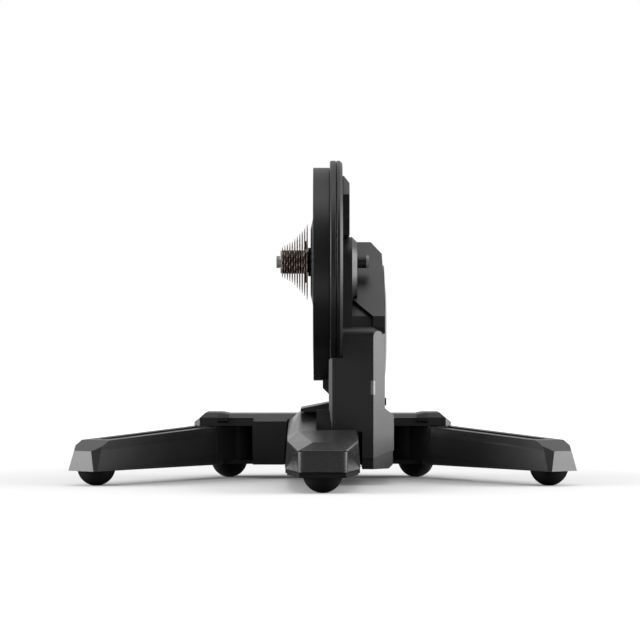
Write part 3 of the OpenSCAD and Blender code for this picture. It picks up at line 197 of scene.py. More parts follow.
def lyingCard(name, halfWidth, front, back):
    left, right, z = -halfWidth, halfWidth, studio["cardLift"]
    darkCard(name, [(left, front, z), (right, front, z), (right, back, z), (left, back, z)])


def makeFlags():
    far, wide, high = -studio["flagDistance"], studio["flagHalfWidth"], studio["flagHeight"]
    stripFar, stripNear = (-y for y in studio["brightStrip"])
    darkCard("frontFlag", [(-wide, far, 0), (wide, far, 0), (wide, far, high), (-wide, far, high)])
    lyingCard("floorFlag", wide, far, stripFar)
    lyingCard("nearFlag", studio["nearFlagHalfWidth"], stripNear, studio["nearFlagBack"])


bpy.context.scene.view_settings.view_transform = "Standard"
makeCamera()
makeWorld()
makeFloor()
makeFlags()
for name, lamp in lamps.items():
    makeLamp(name, *lamp)
print("camera, lamps and floor ready")

# shared shader groups

skin = {
    "fineShare": 0.65,  # of the fine and the soft noise in the grain's height
    "softShare": 0.35,
    "softScale": 0.3,  # of the grain's scale
    "speckScale": 0.6,
    "speckFrom": 0.70,
    "speckGain": 6.0,
    "wearSamples": 4,
    "wearGain": 5.0,
    "wearPatches": (1.8, -0.35),  # factor and shift, as in the two below
    "dustUpward": (1.6, -0.6),
    "mottleShade": (0.35, 0.83),
    "speckRoughness": 0.06,
    "dustRoughness": 0.12,
    "grooveDepth": 8.0,  # times the bump depth
}

def shaderGroup(name, inputs, outputs):
    group = bpy.data.node_groups.new(name, "ShaderNodeTree")
    for label, kind, value in inputs:
        socket = group.interface.new_socket(label, in_out="INPUT", socket_type=kind)
        socket.default_value = value
    for label, kind in outputs:
        group.interface.new_socket(label, in_out="OUTPUT", socket_type=kind)
    return group, group.nodes.new("NodeGroupInput"), group.nodes.new("NodeGroupOutput")


def objectNoise(tree, scale, detail=2.0, roughness=0.5):
    coords = tree.nodes.new("ShaderNodeTexCoord")
    noise = tree.nodes.new("ShaderNodeTexNoise")
    noise.inputs["Detail"].default_value = detail
    noise.inputs["Roughness"].default_value = roughness
    tree.links.new(coords.outputs["Object"], noise.inputs["Vector"])
    if isinstance(scale, (int, float)):
        noise.inputs["Scale"].default_value = scale
    else:
        tree.links.new(scale, noise.inputs["Scale"])
    return noise.outputs["Fac"]


def makeSkinGrain():
    # paint or mould grain: fine height, broad mottling and scattered specks
    group, given, out = shaderGroup(
        "skinGrain",
        [("Grains per Metre", "NodeSocketFloat", 900.0), ("Mottles per Metre", "NodeSocketFloat", 18.0)],
        [("Height", "NodeSocketFloat"), ("Mottle", "NodeSocketFloat"), ("Specks", "NodeSocketFloat")])
    fine = objectNoise(group, given.outputs["Grains per Metre"], 3.0, 0.55)
    softScale = mathNode(group, "MULTIPLY", given.outputs["Grains per Metre"], skin["softScale"])
    soft = mathNode(group, "MULTIPLY", objectNoise(group, softScale, 1.0), skin["softShare"])
    height = mathNode(group, "MULTIPLY_ADD", fine, skin["fineShare"], soft)
    broad = objectNoise(group, given.outputs["Mottles per Metre"], 3.0, 0.6)
    speckScale = mathNode(group, "MULTIPLY", given.outputs["Grains per Metre"], skin["speckScale"])
    speck = mathNode(group, "SUBTRACT", objectNoise(group, speckScale, 0.0), skin["speckFrom"])
    specks = mathNode(group, "MULTIPLY", speck, skin["speckGain"], clamp=True)
    group.links.new(height, out.inputs["Height"])
    group.links.new(broad, out.inputs["Mottle"])
    group.links.new(specks, out.inputs["Specks"])
    return group


def makeEdgeWear():
    # rubbed paint on the corners, broken up by noise
    group, given, out = shaderGroup(
        "edgeWear",
        [("Radius", "NodeSocketFloat", 0.0012), ("Patches per Metre", "NodeSocketFloat", 120.0)],
        [("Edge", "NodeSocketFloat")])
    bevel = group.nodes.new("ShaderNodeBevel")
    bevel.samples = skin["wearSamples"]
    group.links.new(given.outputs["Radius"], bevel.inputs["Radius"])
    shape = group.nodes.new("ShaderNodeNewGeometry")
    dot = group.nodes.new("ShaderNodeVectorMath")
    dot.operation = "DOT_PRODUCT"
    group.links.new(bevel.outputs["Normal"], dot.inputs[0])
    group.links.new(shape.outputs["Normal"], dot.inputs[1])
    turned = mathNode(group, "SUBTRACT", 1.0, dot.outputs["Value"])
    turned = mathNode(group, "MULTIPLY", turned, skin["wearGain"], clamp=True)
    noise = objectNoise(group, given.outputs["Patches per Metre"], 3.0)
    patches = mathNode(group, "MULTIPLY_ADD", noise, *skin["wearPatches"], clamp=True)
    group.links.new(mathNode(group, "MULTIPLY", turned, patches), out.inputs["Edge"])
    return group


def makeTurnedLines():
    # tool marks around a bore that runs along X
    group, given, out = shaderGroup(
        "turnedLines",
        [("Centre", "NodeSocketVector", (0, 0, 0)), ("Lines per Metre", "NodeSocketFloat", 2500.0)],
        [("Height", "NodeSocketFloat")])
    coords = group.nodes.new("ShaderNodeTexCoord")
    away = group.nodes.new("ShaderNodeVectorMath")
    away.operation = "SUBTRACT"
    group.links.new(coords.outputs["Object"], away.inputs[0])
    group.links.new(given.outputs["Centre"], away.inputs[1])
    parts = group.nodes.new("ShaderNodeSeparateXYZ")
    group.links.new(away.outputs[0], parts.inputs[0])
    radius = mathNode(group, "SQRT", mathNode(
        group, "ADD", mathNode(group, "MULTIPLY", parts.outputs["Y"], parts.outputs["Y"]),
        mathNode(group, "MULTIPLY", parts.outputs["Z"], parts.outputs["Z"])))
    noise = group.nodes.new("ShaderNodeTexNoise")
    noise.noise_dimensions = "1D"
    noise.inputs["Detail"].default_value = 2
    group.links.new(mathNode(group, "ADD", radius, parts.outputs["X"]), noise.inputs["W"])
    group.links.new(given.outputs["Lines per Metre"], noise.inputs["Scale"])
    group.links.new(noise.outputs["Fac"], out.inputs["Height"])
    return group


def makeSettledDust():
    # a thin veil on faces that look up
    group, given, out = shaderGroup(
        "settledDust", [("Patches per Metre", "NodeSocketFloat", 60.0)], [("Dust", "NodeSocketFloat")])
    shape = group.nodes.new("ShaderNodeNewGeometry")
    parts = group.nodes.new("ShaderNodeSeparateXYZ")
    group.links.new(shape.outputs["Normal"], parts.inputs[0])
    upward = mathNode(group, "MULTIPLY_ADD", parts.outputs["Z"], *skin["dustUpward"], clamp=True)
    patches = objectNoise(group, given.outputs["Patches per Metre"], 5.0, 0.7)
    group.links.new(mathNode(group, "MULTIPLY", upward, patches), out.inputs["Dust"])
    return group


skinGrain = makeSkinGrain()
edgeWear = makeEdgeWear()
turnedLines = makeTurnedLines()
settledDust = makeSettledDust()
print("shader groups ready")

# finishes

dustColor = (0.20, 0.20, 0.19)
# painted shade: the column's upright cut line is coloured near-black
groovePaintedShade = (0.001, 0.001, 0.001)
finishes = {
    # color, worn edge color, roughness range, grains per metre, bump depth and edge radius in metres,
    # and shares of edge wear and dust; lines are tool marks per metre
    "satinCasting": dict(color=(0.008, 0.008, 0.0084), worn=(0.085, 0.085, 0.088), rough=(0.30, 0.40),
                         grain=1100, depth=0.00005, edge=0.0010, edgeShare=0.5, dust=0.015),
    # painted light: the same black casting, its colour made lighter so the nose renders brighter, and less rough
    "noseCastingLitCopy": dict(color=(0.011, 0.011, 0.0114), worn=(0.085, 0.085, 0.088), rough=(0.22, 0.30),
                        grain=1100, depth=0.00003, edge=0.0010, edgeShare=0.5, dust=0.01),
    # painted light: the same black casting, its colour made lighter so the wing legs render brighter
    "legCastingLitCopy": dict(color=(0.015, 0.015, 0.0154), worn=(0.085, 0.085, 0.088), rough=(0.36, 0.46),
                       grain=1100, depth=0.00005, edge=0.0010, edgeShare=0.5, dust=0.01),
    "columnCasting": dict(color=(0.008, 0.008, 0.0084), worn=(0.085, 0.085, 0.088), rough=(0.36, 0.48),
                          grain=1100, depth=0.00005, edge=0.0010, edgeShare=0.5, dust=0.015,
                          groove=dict(at=0.0186, half=0.0007, inFrontOf=-0.045, below=0.232)),
    "mouldedPlastic": dict(color=(0.004, 0.004, 0.0042), worn=(0.04, 0.04, 0.042), rough=(0.40, 0.52),
                           grain=1700, depth=0.00004, edge=0.0006, edgeShare=0.4, dust=0.012, gloss=0.42),
    "domeRubber": dict(color=(0.004, 0.004, 0.004), worn=(0.02, 0.02, 0.02), rough=(0.62, 0.78), grain=900,
                       depth=0.00005, edge=0.0008, edgeShare=0.3, dust=0.01, gloss=0.2),
    "brightSteel": dict(color=(0.56, 0.56, 0.57), worn=(0.72, 0.72, 0.73), rough=(0.22, 0.34), grain=1500,
                        depth=0.00001, edge=0.0004, edgeShare=0.5, metal=1, lines=3000),
    "blackSteel": dict(color=(0.035, 0.035, 0.037), worn=(0.22, 0.22, 0.22), rough=(0.34, 0.46), grain=1500,
                       depth=0.00002, edge=0.0004, edgeShare=0.7, metal=0.6),
    "cogNickel": dict(color=(0.29, 0.24, 0.21), worn=(0.42, 0.37, 0.33), rough=(0.34, 0.46), grain=1600,
                      depth=0.000006, edge=0.0003, edgeShare=0.3, metal=1),
    "darkAlloy": dict(color=(0.012, 0.010, 0.0095), worn=(0.06, 0.055, 0.05), rough=(0.42, 0.52), grain=1500,
                      depth=0.00001, edge=0.0003, edgeShare=0.2, metal=0.2),
    "lockringAlloy": dict(color=(0.16, 0.13, 0.12), worn=(0.2, 0.17, 0.16), rough=(0.36, 0.46), grain=1500,
                          depth=0.00001, edge=0.0003, edgeShare=0.4, lines=2400, gloss=0.8),
    "pulleyAlloy": dict(color=(0.42, 0.42, 0.43), worn=(0.6, 0.6, 0.6), rough=(0.30, 0.42), grain=1400,
                        depth=0.00002, edge=0.0005, edgeShare=0.4, metal=1, lines=2200),
    "capAlloy": dict(color=(0.12, 0.12, 0.125), worn=(0.3, 0.3, 0.31), rough=(0.36, 0.46), grain=1500,
                     depth=0.00001, edge=0.0004, edgeShare=0.5, lines=2600),
    "silverAlloy": dict(color=(0.58, 0.58, 0.59), worn=(0.75, 0.75, 0.75), rough=(0.22, 0.32), grain=1500,
                        depth=0.00001, edge=0.0004, edgeShare=0.6, metal=1, lines=2600),
    "flywheelIron": dict(color=(0.022, 0.022, 0.023), worn=(0.12, 0.12, 0.12), rough=(0.26, 0.38), grain=900,
                         depth=0.00004, edge=0.0008, edgeShare=0.5, lines=1500),
    "copperWire": dict(color=(0.50, 0.22, 0.09), worn=(0.7, 0.36, 0.18), rough=(0.28, 0.40), grain=2500,
                       depth=0.00005, edge=0.0003, edgeShare=0.3, metal=1),
    "boardGreen": dict(color=(0.010, 0.075, 0.030), worn=(0.05, 0.16, 0.07), rough=(0.30, 0.42), grain=1200,
                       depth=0.00001, edge=0.0003, edgeShare=0.3),
    "windowPlastic": dict(color=(0.085, 0.088, 0.09), worn=(0.06, 0.06, 0.06), rough=(0.2, 0.3), grain=800,
                          depth=0.00001, edge=0.0003, edgeShare=0.3),
}


def mixColors(tree, share, first, second, blend="MIX"):
    node = tree.nodes.new("ShaderNodeMix")
    node.data_type = "RGBA"
    node.blend_type = blend
    for label, value in (("Factor", share), ("A", first), ("B", second)):
        if isinstance(value, tuple):
            node.inputs[label].default_value = (*value, 1)
        elif isinstance(value, (int, float)):
            node.inputs[label].default_value = value
        else:
            tree.links.new(value, node.inputs[label])
    return node.outputs["Result"]


def groupNode(tree, group, values):
    node = tree.nodes.new("ShaderNodeGroup")
    node.node_tree = group
    for label, value in values.items():
        node.inputs[label].default_value = value
    return node.outputs


def grooveMask(tree, groove):
    # upright cut line on a front face
    coords = tree.nodes.new("ShaderNodeTexCoord")
    parts = tree.nodes.new("ShaderNodeSeparateXYZ")
    tree.links.new(coords.outputs["Object"], parts.inputs[0])
    away = mathNode(tree, "ABSOLUTE", mathNode(tree, "SUBTRACT", parts.outputs["X"], groove["at"]))
    line = mathNode(tree, "LESS_THAN", away, groove["half"])
    front = mathNode(tree, "LESS_THAN", parts.outputs["Y"], groove["inFrontOf"])
    low = mathNode(tree, "LESS_THAN", parts.outputs["Z"], groove["below"])
    return mathNode(tree, "MULTIPLY", mathNode(tree, "MULTIPLY", line, front), low)


def makeFinish(name, look):
    mat = bpy.data.materials.new(name)
    mat.use_nodes = True
    tree = mat.node_tree
    shader = tree.nodes["Principled BSDF"]
    shader.inputs["Metallic"].default_value = look.get("metal", 0)
    shader.inputs["Specular IOR Level"].default_value = look.get("gloss", 0.5)

    grain = groupNode(tree, skinGrain, {"Grains per Metre": look["grain"]})
    wear = groupNode(tree, edgeWear, {"Radius": look["edge"]})
    worn = mathNode(tree, "MULTIPLY", wear["Edge"], look["edgeShare"])
    shade = mathNode(tree, "MULTIPLY_ADD", grain["Mottle"], *skin["mottleShade"])
    grey = tree.nodes.new("ShaderNodeCombineColor")
    for channel in grey.inputs[:3]:
        tree.links.new(shade, channel)
    color = mixColors(tree, worn, look["color"], look["worn"])
    color = mixColors(tree, 1, color, grey.outputs[0], "MULTIPLY")
    low, high = look["rough"]
    rough = mathNode(tree, "MULTIPLY_ADD", grain["Mottle"], high - low, low)
    rough = mathNode(tree, "MULTIPLY_ADD", grain["Specks"], skin["speckRoughness"], rough)
    if look.get("dust"):
        dust = groupNode(tree, settledDust, {})["Dust"]
        color = mixColors(tree, mathNode(tree, "MULTIPLY", dust, look["dust"]), color, dustColor)
        rough = mathNode(tree, "MULTIPLY_ADD", dust, skin["dustRoughness"], rough)
    height = grain["Height"]
    if look.get("groove"):
        line = grooveMask(tree, look["groove"])
        # the cut line is coloured near-black and fully rough, which is painted shade inside the groove, while its
        # height dips in
        color = mixColors(tree, line, color, groovePaintedShade)
        rough = mathNode(tree, "MAXIMUM", rough, line)
        height = mathNode(tree, "SUBTRACT", height, mathNode(tree, "MULTIPLY", line, skin["grooveDepth"]))
    if look.get("lines"):
        lines = groupNode(tree, turnedLines, {
            "Centre": look.get("centre", hub), "Lines per Metre": look["lines"]})
        height = mathNode(tree, "ADD", height, lines["Height"])
    tree.links.new(color, shader.inputs["Base Color"])
    tree.links.new(rough, shader.inputs["Roughness"])
    bump = tree.nodes.new("ShaderNodeBump")
    bump.inputs["Distance"].default_value = look["depth"]
    bump.inputs["Strength"].default_value = 1
    tree.links.new(height, bump.inputs["Height"])
    tree.links.new(bump.outputs["Normal"], shader.inputs["Normal"])
    return mat


finishes["flywheelIron"]["centre"] = shaft
material = {name: makeFinish(name, look) for name, look in finishes.items()}
print("finishes ready:", len(material))

# dressed castings and covers

weldBelow = 2e-6
flatBelow = 0.4  # degrees; triangles of one flat face are made one


def cleanCopy(nodeName, pieceName):
    # merged, welded copy of a CAD node, with flat faces made whole again
    mesh = nodes[nodeName].data.copy()
    mesh.name = pieceName
    bm = bmesh.new()
    bm.from_mesh(mesh)
    bmesh.ops.remove_doubles(bm, verts=bm.verts, dist=weldBelow)
    bmesh.ops.dissolve_limit(bm, angle_limit=math.radians(flatBelow), verts=bm.verts, edges=bm.edges)
    bm.to_mesh(mesh)
    bm.free()
    return linked(pieceName, mesh)


def finishPiece(piece, body, slotName, finish, *replaced):
    mesh = piece.data
    mesh.materials.clear()
    mesh.materials.append(material[finish])
    for face in mesh.polygons:
        face.material_index = 0
    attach(piece, body)
    if replaced:
        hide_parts(*replaced)


softEdges = {
    "crease": 8,  # degrees; flatter edges are shaded smooth
    "sharp": 24,  # degrees; sharper edges are rounded
    "segments": 2,
    "widest": 10,  # times the usual width, which an edge weight of 1 stands for
    "broadAngle": 2,  # degrees, and square metres: creases between broad faces stay crisp
    "broadArea": 8e-4,
}
nose = {
    # the two upright corners of the nose are cast much rounder
    "crease": 2,
    "segments": 5,
    "times": 8.6,
    "leastHeight": 0.02,
    "mostLean": 0.004,
    "inFrontOf": -0.25,
}


def keepBroadCreases(mesh):
    bm = bmesh.new()
    bm.from_mesh(mesh)
    for edge in bm.edges:
        if len(edge.link_faces) == 2 and edge.calc_face_angle(0) > math.radians(softEdges["broadAngle"]):
            if min(face.calc_area() for face in edge.link_faces) > softEdges["broadArea"]:
                edge.smooth = False
    bm.to_mesh(mesh)
    bm.free()


def edgeWeights(mesh, wide):
    bm = bmesh.new()
    bm.from_mesh(mesh)
    values = []
    for edge in bm.edges:
        turn = edge.calc_face_angle(0) if len(edge.link_faces) == 2 else 0
        share = 0.0
        if turn > math.radians(softEdges["sharp"]):
            share = 1 / softEdges["widest"]
            if wide:
                share *= wide(edge.verts[0].co, edge.verts[1].co)
        values.append(min(share, 1.0))
    bm.free()
    return values


def dress(nodeName, slotName, finish, width,
          segments=softEdges["segments"], crease=softEdges["crease"], wide=None):
    piece = cleanCopy(nodeName, "dressed_" + nodeName)
    mesh = piece.data
    mesh.polygons.foreach_set("use_smooth", [True] * len(mesh.polygons))
    mesh.set_sharp_from_angle(angle=math.radians(crease))
    keepBroadCreases(mesh)
    weights = mesh.attributes.new("bevel_weight_edge", "FLOAT", "EDGE")
    weights.data.foreach_set("value", edgeWeights(mesh, wide))
    bevel = piece.modifiers.new("softEdges", "BEVEL")
    bevel.limit_method = "WEIGHT"
    bevel.width = width * softEdges["widest"]
    bevel.segments = segments
    bevel.use_clamp_overlap = not wide
    bevel.harden_normals = True
    finishPiece(piece, bodyOfNode[nodeName], slotName, finish, nodeName)


def noseCorner(a, b):
    upright = abs(a.z - b.z) > nose["leastHeight"] and abs(a.y - b.y) < nose["mostLean"]
    return nose["times"] if upright and a.y < nose["inFrontOf"] else 1.0


castings = {
    # width of the soft edges, finish
    # the front leg takes the casting colour painted lighter, as painted light
    "front_leg": (0.0011, "noseCastingLitCopy"), "rear_crossbar": (0.0010, "satinCasting"),
    "column": (0.0010, "columnCasting"), "base_cover": (0.0008, "satinCasting"),
    "flywheel_guard": (0.0008, "satinCasting"), "carry_handle": (0.0010, "satinCasting"),
    # the wing legs take the casting colour painted lighter, as painted light
    "left_wing_leg": (0.0010, "legCastingLitCopy"), "right_wing_leg": (0.0010, "legCastingLitCopy"),
}
for name, (width, finish) in castings.items():
    if name == "front_leg":
        dress(name, "black_casting", finish, width, nose["segments"], nose["crease"], noseCorner)
    else:
        dress(name, "black_casting", finish, width)

mouldings = {
    # width of the soft edges
    "belt_cover": 0.0008, "cover_ring": 0.0003, "inner_cover": 0.0003, "cover_dome": 0.0006,
    "hinge_caps": 0.0007, "base_plate": 0.0008, "side_plug": 0.0004, "power_inlet": 0.0003,
    "left_release_lever": 0.0005, "right_release_lever": 0.0005,
}
for name, width in mouldings.items():
    dress(name, "black_plastic", "mouldedPlastic", width)

seal = {
    "lip": 0.0015,  # reaches to just short of the largest cog
    "faceDepth": 0.0005,
    "smooth": 30,
}


def makeSeal():
    piece = cleanCopy("hub_seal", "lipped_hub_seal")
    mesh = piece.data
    face = min(v.co.x for v in mesh.vertices)
    for v in mesh.vertices:
        if v.co.x < face + seal["faceDepth"]:
            v.co.x -= seal["lip"]
    mesh.polygons.foreach_set("use_smooth", [True] * len(mesh.polygons))
    mesh.set_sharp_from_angle(angle=math.radians(seal["smooth"]))
    finishPiece(piece, bodyOfNode["hub_seal"], "black_rubber", "domeRubber", "hub_seal")


makeSeal()
print("castings and mouldings dressed")

# Geometry Nodes: shared helpers

smoothBelow = 35  # degrees


def growTree(name, inputs):
    tree = bpy.data.node_groups.new(name, "GeometryNodeTree")
    for label, kind, value in inputs:
        socket = tree.interface.new_socket(label, in_out="INPUT", socket_type=kind)
        if value is not None:
            socket.default_value = value
    tree.interface.new_socket("Geometry", in_out="OUTPUT", socket_type="NodeSocketGeometry")
    return tree, tree.nodes.new("NodeGroupInput").outputs, tree.nodes.new("NodeGroupOutput").inputs


def sendOut(tree, geometry, given, out):
    # every tree ends in Realize Instances and Set Material
    real = tree.nodes.new("GeometryNodeRealizeInstances")
    paint = tree.nodes.new("GeometryNodeSetMaterial")
    tree.links.new(geometry, real.inputs["Geometry"])
    tree.links.new(real.outputs["Geometry"], paint.inputs["Geometry"])
    tree.links.new(given["Finish"], paint.inputs["Material"])
    tree.links.new(paint.outputs["Geometry"], out["Geometry"])


def vectorFrom(tree, x, y, z):
    join = tree.nodes.new("ShaderNodeCombineXYZ")
    for socket, value in zip(join.inputs, (x, y, z)):
        if isinstance(value, (int, float)):
            socket.default_value = value
        else:
            tree.links.new(value, socket)
    return join.outputs[0]


def placed(tree, geometry, shift=None, turn=None):
    move = tree.nodes.new("GeometryNodeTransform")
    tree.links.new(geometry, move.inputs["Geometry"])
    for name, value in (("Translation", shift), ("Rotation", turn)):
        if value is not None:
            tree.links.new(value, move.inputs[name])
    return move.outputs["Geometry"]


def grow(name, tree, values):
    # one plain mesh from a tree: inputs go in by identifier before the first evaluation
    piece = linked(name, bpy.data.meshes.new(name))
    maker = piece.modifiers.new("grow", "NODES")
    maker.node_group = tree
    for item in tree.interface.items_tree:
        if item.item_type == "SOCKET" and item.in_out == "INPUT" and item.name in values:
            maker[item.identifier] = values[item.name]
    solid = bpy.data.meshes.new_from_object(piece.evaluated_get(bpy.context.evaluated_depsgraph_get()))
    piece.modifiers.clear()
    piece.data = solid
    solid.name = name
    bm = bmesh.new()
    bm.from_mesh(solid)
    bmesh.ops.remove_doubles(bm, verts=bm.verts, dist=weldBelow)
    bmesh.ops.recalc_face_normals(bm, faces=bm.faces)
    bm.to_mesh(solid)
    bm.free()
    solid.polygons.foreach_set("use_smooth", [True] * len(solid.polygons))
    solid.set_sharp_from_angle(angle=math.radians(smoothBelow))
    return piece


def joined(name, pieces):
    mesh = bpy.data.meshes.new(name)
    bm = bmesh.new()
    for piece in pieces:
        bm.from_mesh(piece.data)
    bm.to_mesh(mesh)
    bm.free()
    mesh.set_sharp_from_angle(angle=math.radians(smoothBelow))
    for piece in pieces:
        bpy.data.objects.remove(piece)
    return linked(name, mesh)


# cassette

cassette = {
    "teeth": (11, 12, 13, 14, 15, 17, 19, 21, 23, 25, 28),
    "chainPitch": 0.0127,
    "firstSide": -0.0627,
    "step": 0.0038,
    "thickness": 0.0016,
    "toothHeight": 0.0012,
    "gapDepth": 0.0038,
    "tipInset": 0.0004,
    "bore": 0.01652,
    "pointsPerTooth": 16,
    "tipShare": 0.16,  # of half a tooth's pitch, from the tip's middle
    "seatShare": 0.86,
    "webStep": 0.0008,
    "largestOnBody": 15,  # teeth; larger cogs are rings on arms
    "rimDepth": 0.0052,
    "arms": 6,
    "armWidth": 0.0062,
    "turnStep": 0.37,
    "carrierInner": 0.0171,  # the three largest cogs share a tube and arms
    "carrierOuter": 0.031,
    "carrierWidth": 0.007,
    "carrierDepth": 0.0052,
    "tubeRadius": 0.018,
    "tubeLength": 0.0092,
    "tubeRoundness": 12,
    "boreOverlap": 0.0002,
    "rimOverlap": 0.0003,
    "inset": 0.0001,
    "seam": 0.000003,
    "armCircle": 0.001,  # the arms spread out from it
}


def makeCogTree():
    tree, given, out = growTree("toothedCog", [
        ("Teeth", "NodeSocketInt", 11), ("Pitch Radius", "NodeSocketFloat", 0.022),
        ("Bore Radius", "NodeSocketFloat", 0.0165), ("Side", "NodeSocketFloat", 0.0),
        ("Thickness", "NodeSocketFloat", 0.0016), ("Tooth Height", "NodeSocketFloat", 0.0026),
        ("Gap Depth", "NodeSocketFloat", 0.0038), ("Tip Inset", "NodeSocketFloat", 0.0004),
        ("Turn", "NodeSocketFloat", 0.0), ("Axis Height", "NodeSocketFloat", 0.3415),
        ("Finish", "NodeSocketMaterial", None)])
    rows = 6  # bore, web and tooth on either face
    steps = tree.nodes.new("GeometryNodeMeshGrid")
    steps.inputs["Size X"].default_value = 1
    steps.inputs["Size Y"].default_value = 1
    steps.inputs["Vertices Y"].default_value = rows + 1
    points = mathNode(tree, "MULTIPLY_ADD", given["Teeth"], float(cassette["pointsPerTooth"]), 1.0)
    tree.links.new(points, steps.inputs["Vertices X"])
    at = tree.nodes.new("GeometryNodeInputPosition")
    parts = tree.nodes.new("ShaderNodeSeparateXYZ")
    tree.links.new(at.outputs[0], parts.inputs[0])
    lap = mathNode(tree, "ADD", parts.outputs["X"], 0.5)
    row = mathNode(tree, "ROUND", mathNode(tree, "MULTIPLY_ADD", parts.outputs["Y"], float(rows), rows / 2))
    share = mathNode(tree, "FRACT", mathNode(tree, "MULTIPLY", lap, given["Teeth"]))
    off = mathNode(tree, "ABSOLUTE", mathNode(tree, "SUBTRACT", share, 0.5))
    off = mathNode(tree, "MULTIPLY", off, 2.0)  # 0 in the tooth's middle, 1 between two teeth
    flank = tree.nodes.new("ShaderNodeMapRange")  # tooth tip, flank and the seat of the chain's roller
    flank.interpolation_type = "SMOOTHSTEP"
    flank.inputs["From Min"].default_value = cassette["tipShare"]
    flank.inputs["From Max"].default_value = cassette["seatShare"]
    tree.links.new(off, flank.inputs["Value"])
    tree.links.new(given["Tooth Height"], flank.inputs["To Min"])
    tree.links.new(mathNode(tree, "MULTIPLY", given["Gap Depth"], -1.0), flank.inputs["To Max"])
    tip = mathNode(tree, "ADD", given["Pitch Radius"], flank.outputs["Result"])
    seat = mathNode(tree, "SUBTRACT", given["Pitch Radius"], given["Gap Depth"])
    base = mathNode(tree, "SUBTRACT", seat, cassette["webStep"])
    near = given["Side"]
    far = mathNode(tree, "ADD", near, given["Thickness"])
    tipNear = mathNode(tree, "ADD", near, given["Tip Inset"])
    tipFar = mathNode(tree, "SUBTRACT", far, given["Tip Inset"])

    def byRow(values):
        pick = tree.nodes.new("GeometryNodeIndexSwitch")
        pick.data_type = "FLOAT"
        while len(pick.index_switch_items) < len(values):
            pick.index_switch_items.new()
        tree.links.new(row, pick.inputs["Index"])
        for i, value in enumerate(values):
            tree.links.new(value, pick.inputs[i + 1])
        return pick.outputs[0]

    bore = given["Bore Radius"]
    radius = byRow([bore, base, tip, tip, base, bore, bore])
    side = byRow([near, near, tipNear, tipFar, far, far, near])
    angle = mathNode(tree, "MULTIPLY_ADD", lap, 2 * math.pi, given["Turn"])
    y = mathNode(tree, "MULTIPLY", radius, mathNode(tree, "COSINE", angle))
    z = mathNode(tree, "MULTIPLY_ADD", radius, mathNode(tree, "SINE", angle), given["Axis Height"])
    bend = tree.nodes.new("GeometryNodeSetPosition")
    tree.links.new(steps.outputs["Mesh"], bend.inputs["Geometry"])
    tree.links.new(vectorFrom(tree, side, y, z), bend.inputs["Position"])
    weld = tree.nodes.new("GeometryNodeMergeByDistance")
    weld.inputs["Distance"].default_value = cassette["seam"]
    tree.links.new(bend.outputs["Geometry"], weld.inputs["Geometry"])
    sendOut(tree, weld.outputs["Geometry"], given, out)
    return tree


def makeSpokeTree():
    tree, given, out = growTree("cogArms", [
        ("Arms", "NodeSocketInt", 6), ("Inner Radius", "NodeSocketFloat", 0.018),
        ("Outer Radius", "NodeSocketFloat", 0.03), ("Width", "NodeSocketFloat", 0.006),
        ("Side", "NodeSocketFloat", 0.0), ("Depth", "NodeSocketFloat", 0.0016),
        ("Axis Height", "NodeSocketFloat", 0.3415), ("Finish", "NodeSocketMaterial", None)])
    circle = tree.nodes.new("GeometryNodeMeshCircle")
    tree.links.new(given["Arms"], circle.inputs["Vertices"])
    circle.inputs["Radius"].default_value = cassette["armCircle"]
    bar = tree.nodes.new("GeometryNodeMeshCube")
    length = mathNode(tree, "SUBTRACT", given["Outer Radius"], given["Inner Radius"])
    tree.links.new(vectorFrom(tree, length, given["Width"], given["Depth"]), bar.inputs["Size"])
    middle = mathNode(tree, "MULTIPLY_ADD", length, 0.5, given["Inner Radius"])
    halfDepth = mathNode(tree, "MULTIPLY", given["Depth"], 0.5)
    bars = placed(tree, bar.outputs["Mesh"], vectorFrom(tree, middle, 0.0, halfDepth))
    spread = tree.nodes.new("GeometryNodeInstanceOnPoints")
    tree.links.new(circle.outputs["Mesh"], spread.inputs["Points"])
    tree.links.new(bars, spread.inputs["Instance"])
    order = tree.nodes.new("GeometryNodeInputIndex")
    turns = mathNode(tree, "MULTIPLY", order.outputs[0], 2 * math.pi)
    lap = mathNode(tree, "DIVIDE", turns, given["Arms"])
    tree.links.new(vectorFrom(tree, 0.0, 0.0, lap), spread.inputs["Rotation"])
    shift = vectorFrom(tree, given["Side"], 0.0, given["Axis Height"])
    stood = placed(tree, spread.outputs["Instances"], shift, vectorFrom(tree, 0.0, math.pi / 2, 0.0))
    sendOut(tree, stood, given, out)
    return tree


cogTree = makeCogTree()
spokeTree = makeSpokeTree()


def pitchRadius(teeth):
    return cassette["chainPitch"] / (2 * math.sin(math.pi / teeth))


def sideOf(place):
    return cassette["firstSide"] + place * cassette["step"]


def makeCog(place, teeth):
    pitch = pitchRadius(teeth)
    rim = pitch - cassette["gapDepth"] - cassette["rimDepth"]
    onArms = teeth > cassette["largestOnBody"]
    common = {"Side": sideOf(place), "Axis Height": hub.z, "Finish": material["cogNickel"]}
    cog = grow("cogRing%d" % teeth, cogTree, {
        "Teeth": teeth, "Pitch Radius": pitch, "Bore Radius": rim if onArms else cassette["bore"],
        "Thickness": cassette["thickness"], "Tooth Height": cassette["toothHeight"],
        "Gap Depth": cassette["gapDepth"], "Tip Inset": cassette["tipInset"],
        "Turn": cassette["turnStep"] * place, **common})
    if not onArms:
        return [cog]
    arms = grow("cogArms%d" % teeth, spokeTree, {
        "Arms": cassette["arms"], "Inner Radius": cassette["bore"] + cassette["boreOverlap"],
        "Outer Radius": rim + cassette["rimOverlap"], "Width": cassette["armWidth"],
        "Depth": cassette["thickness"], **common})
    return [cog, arms]


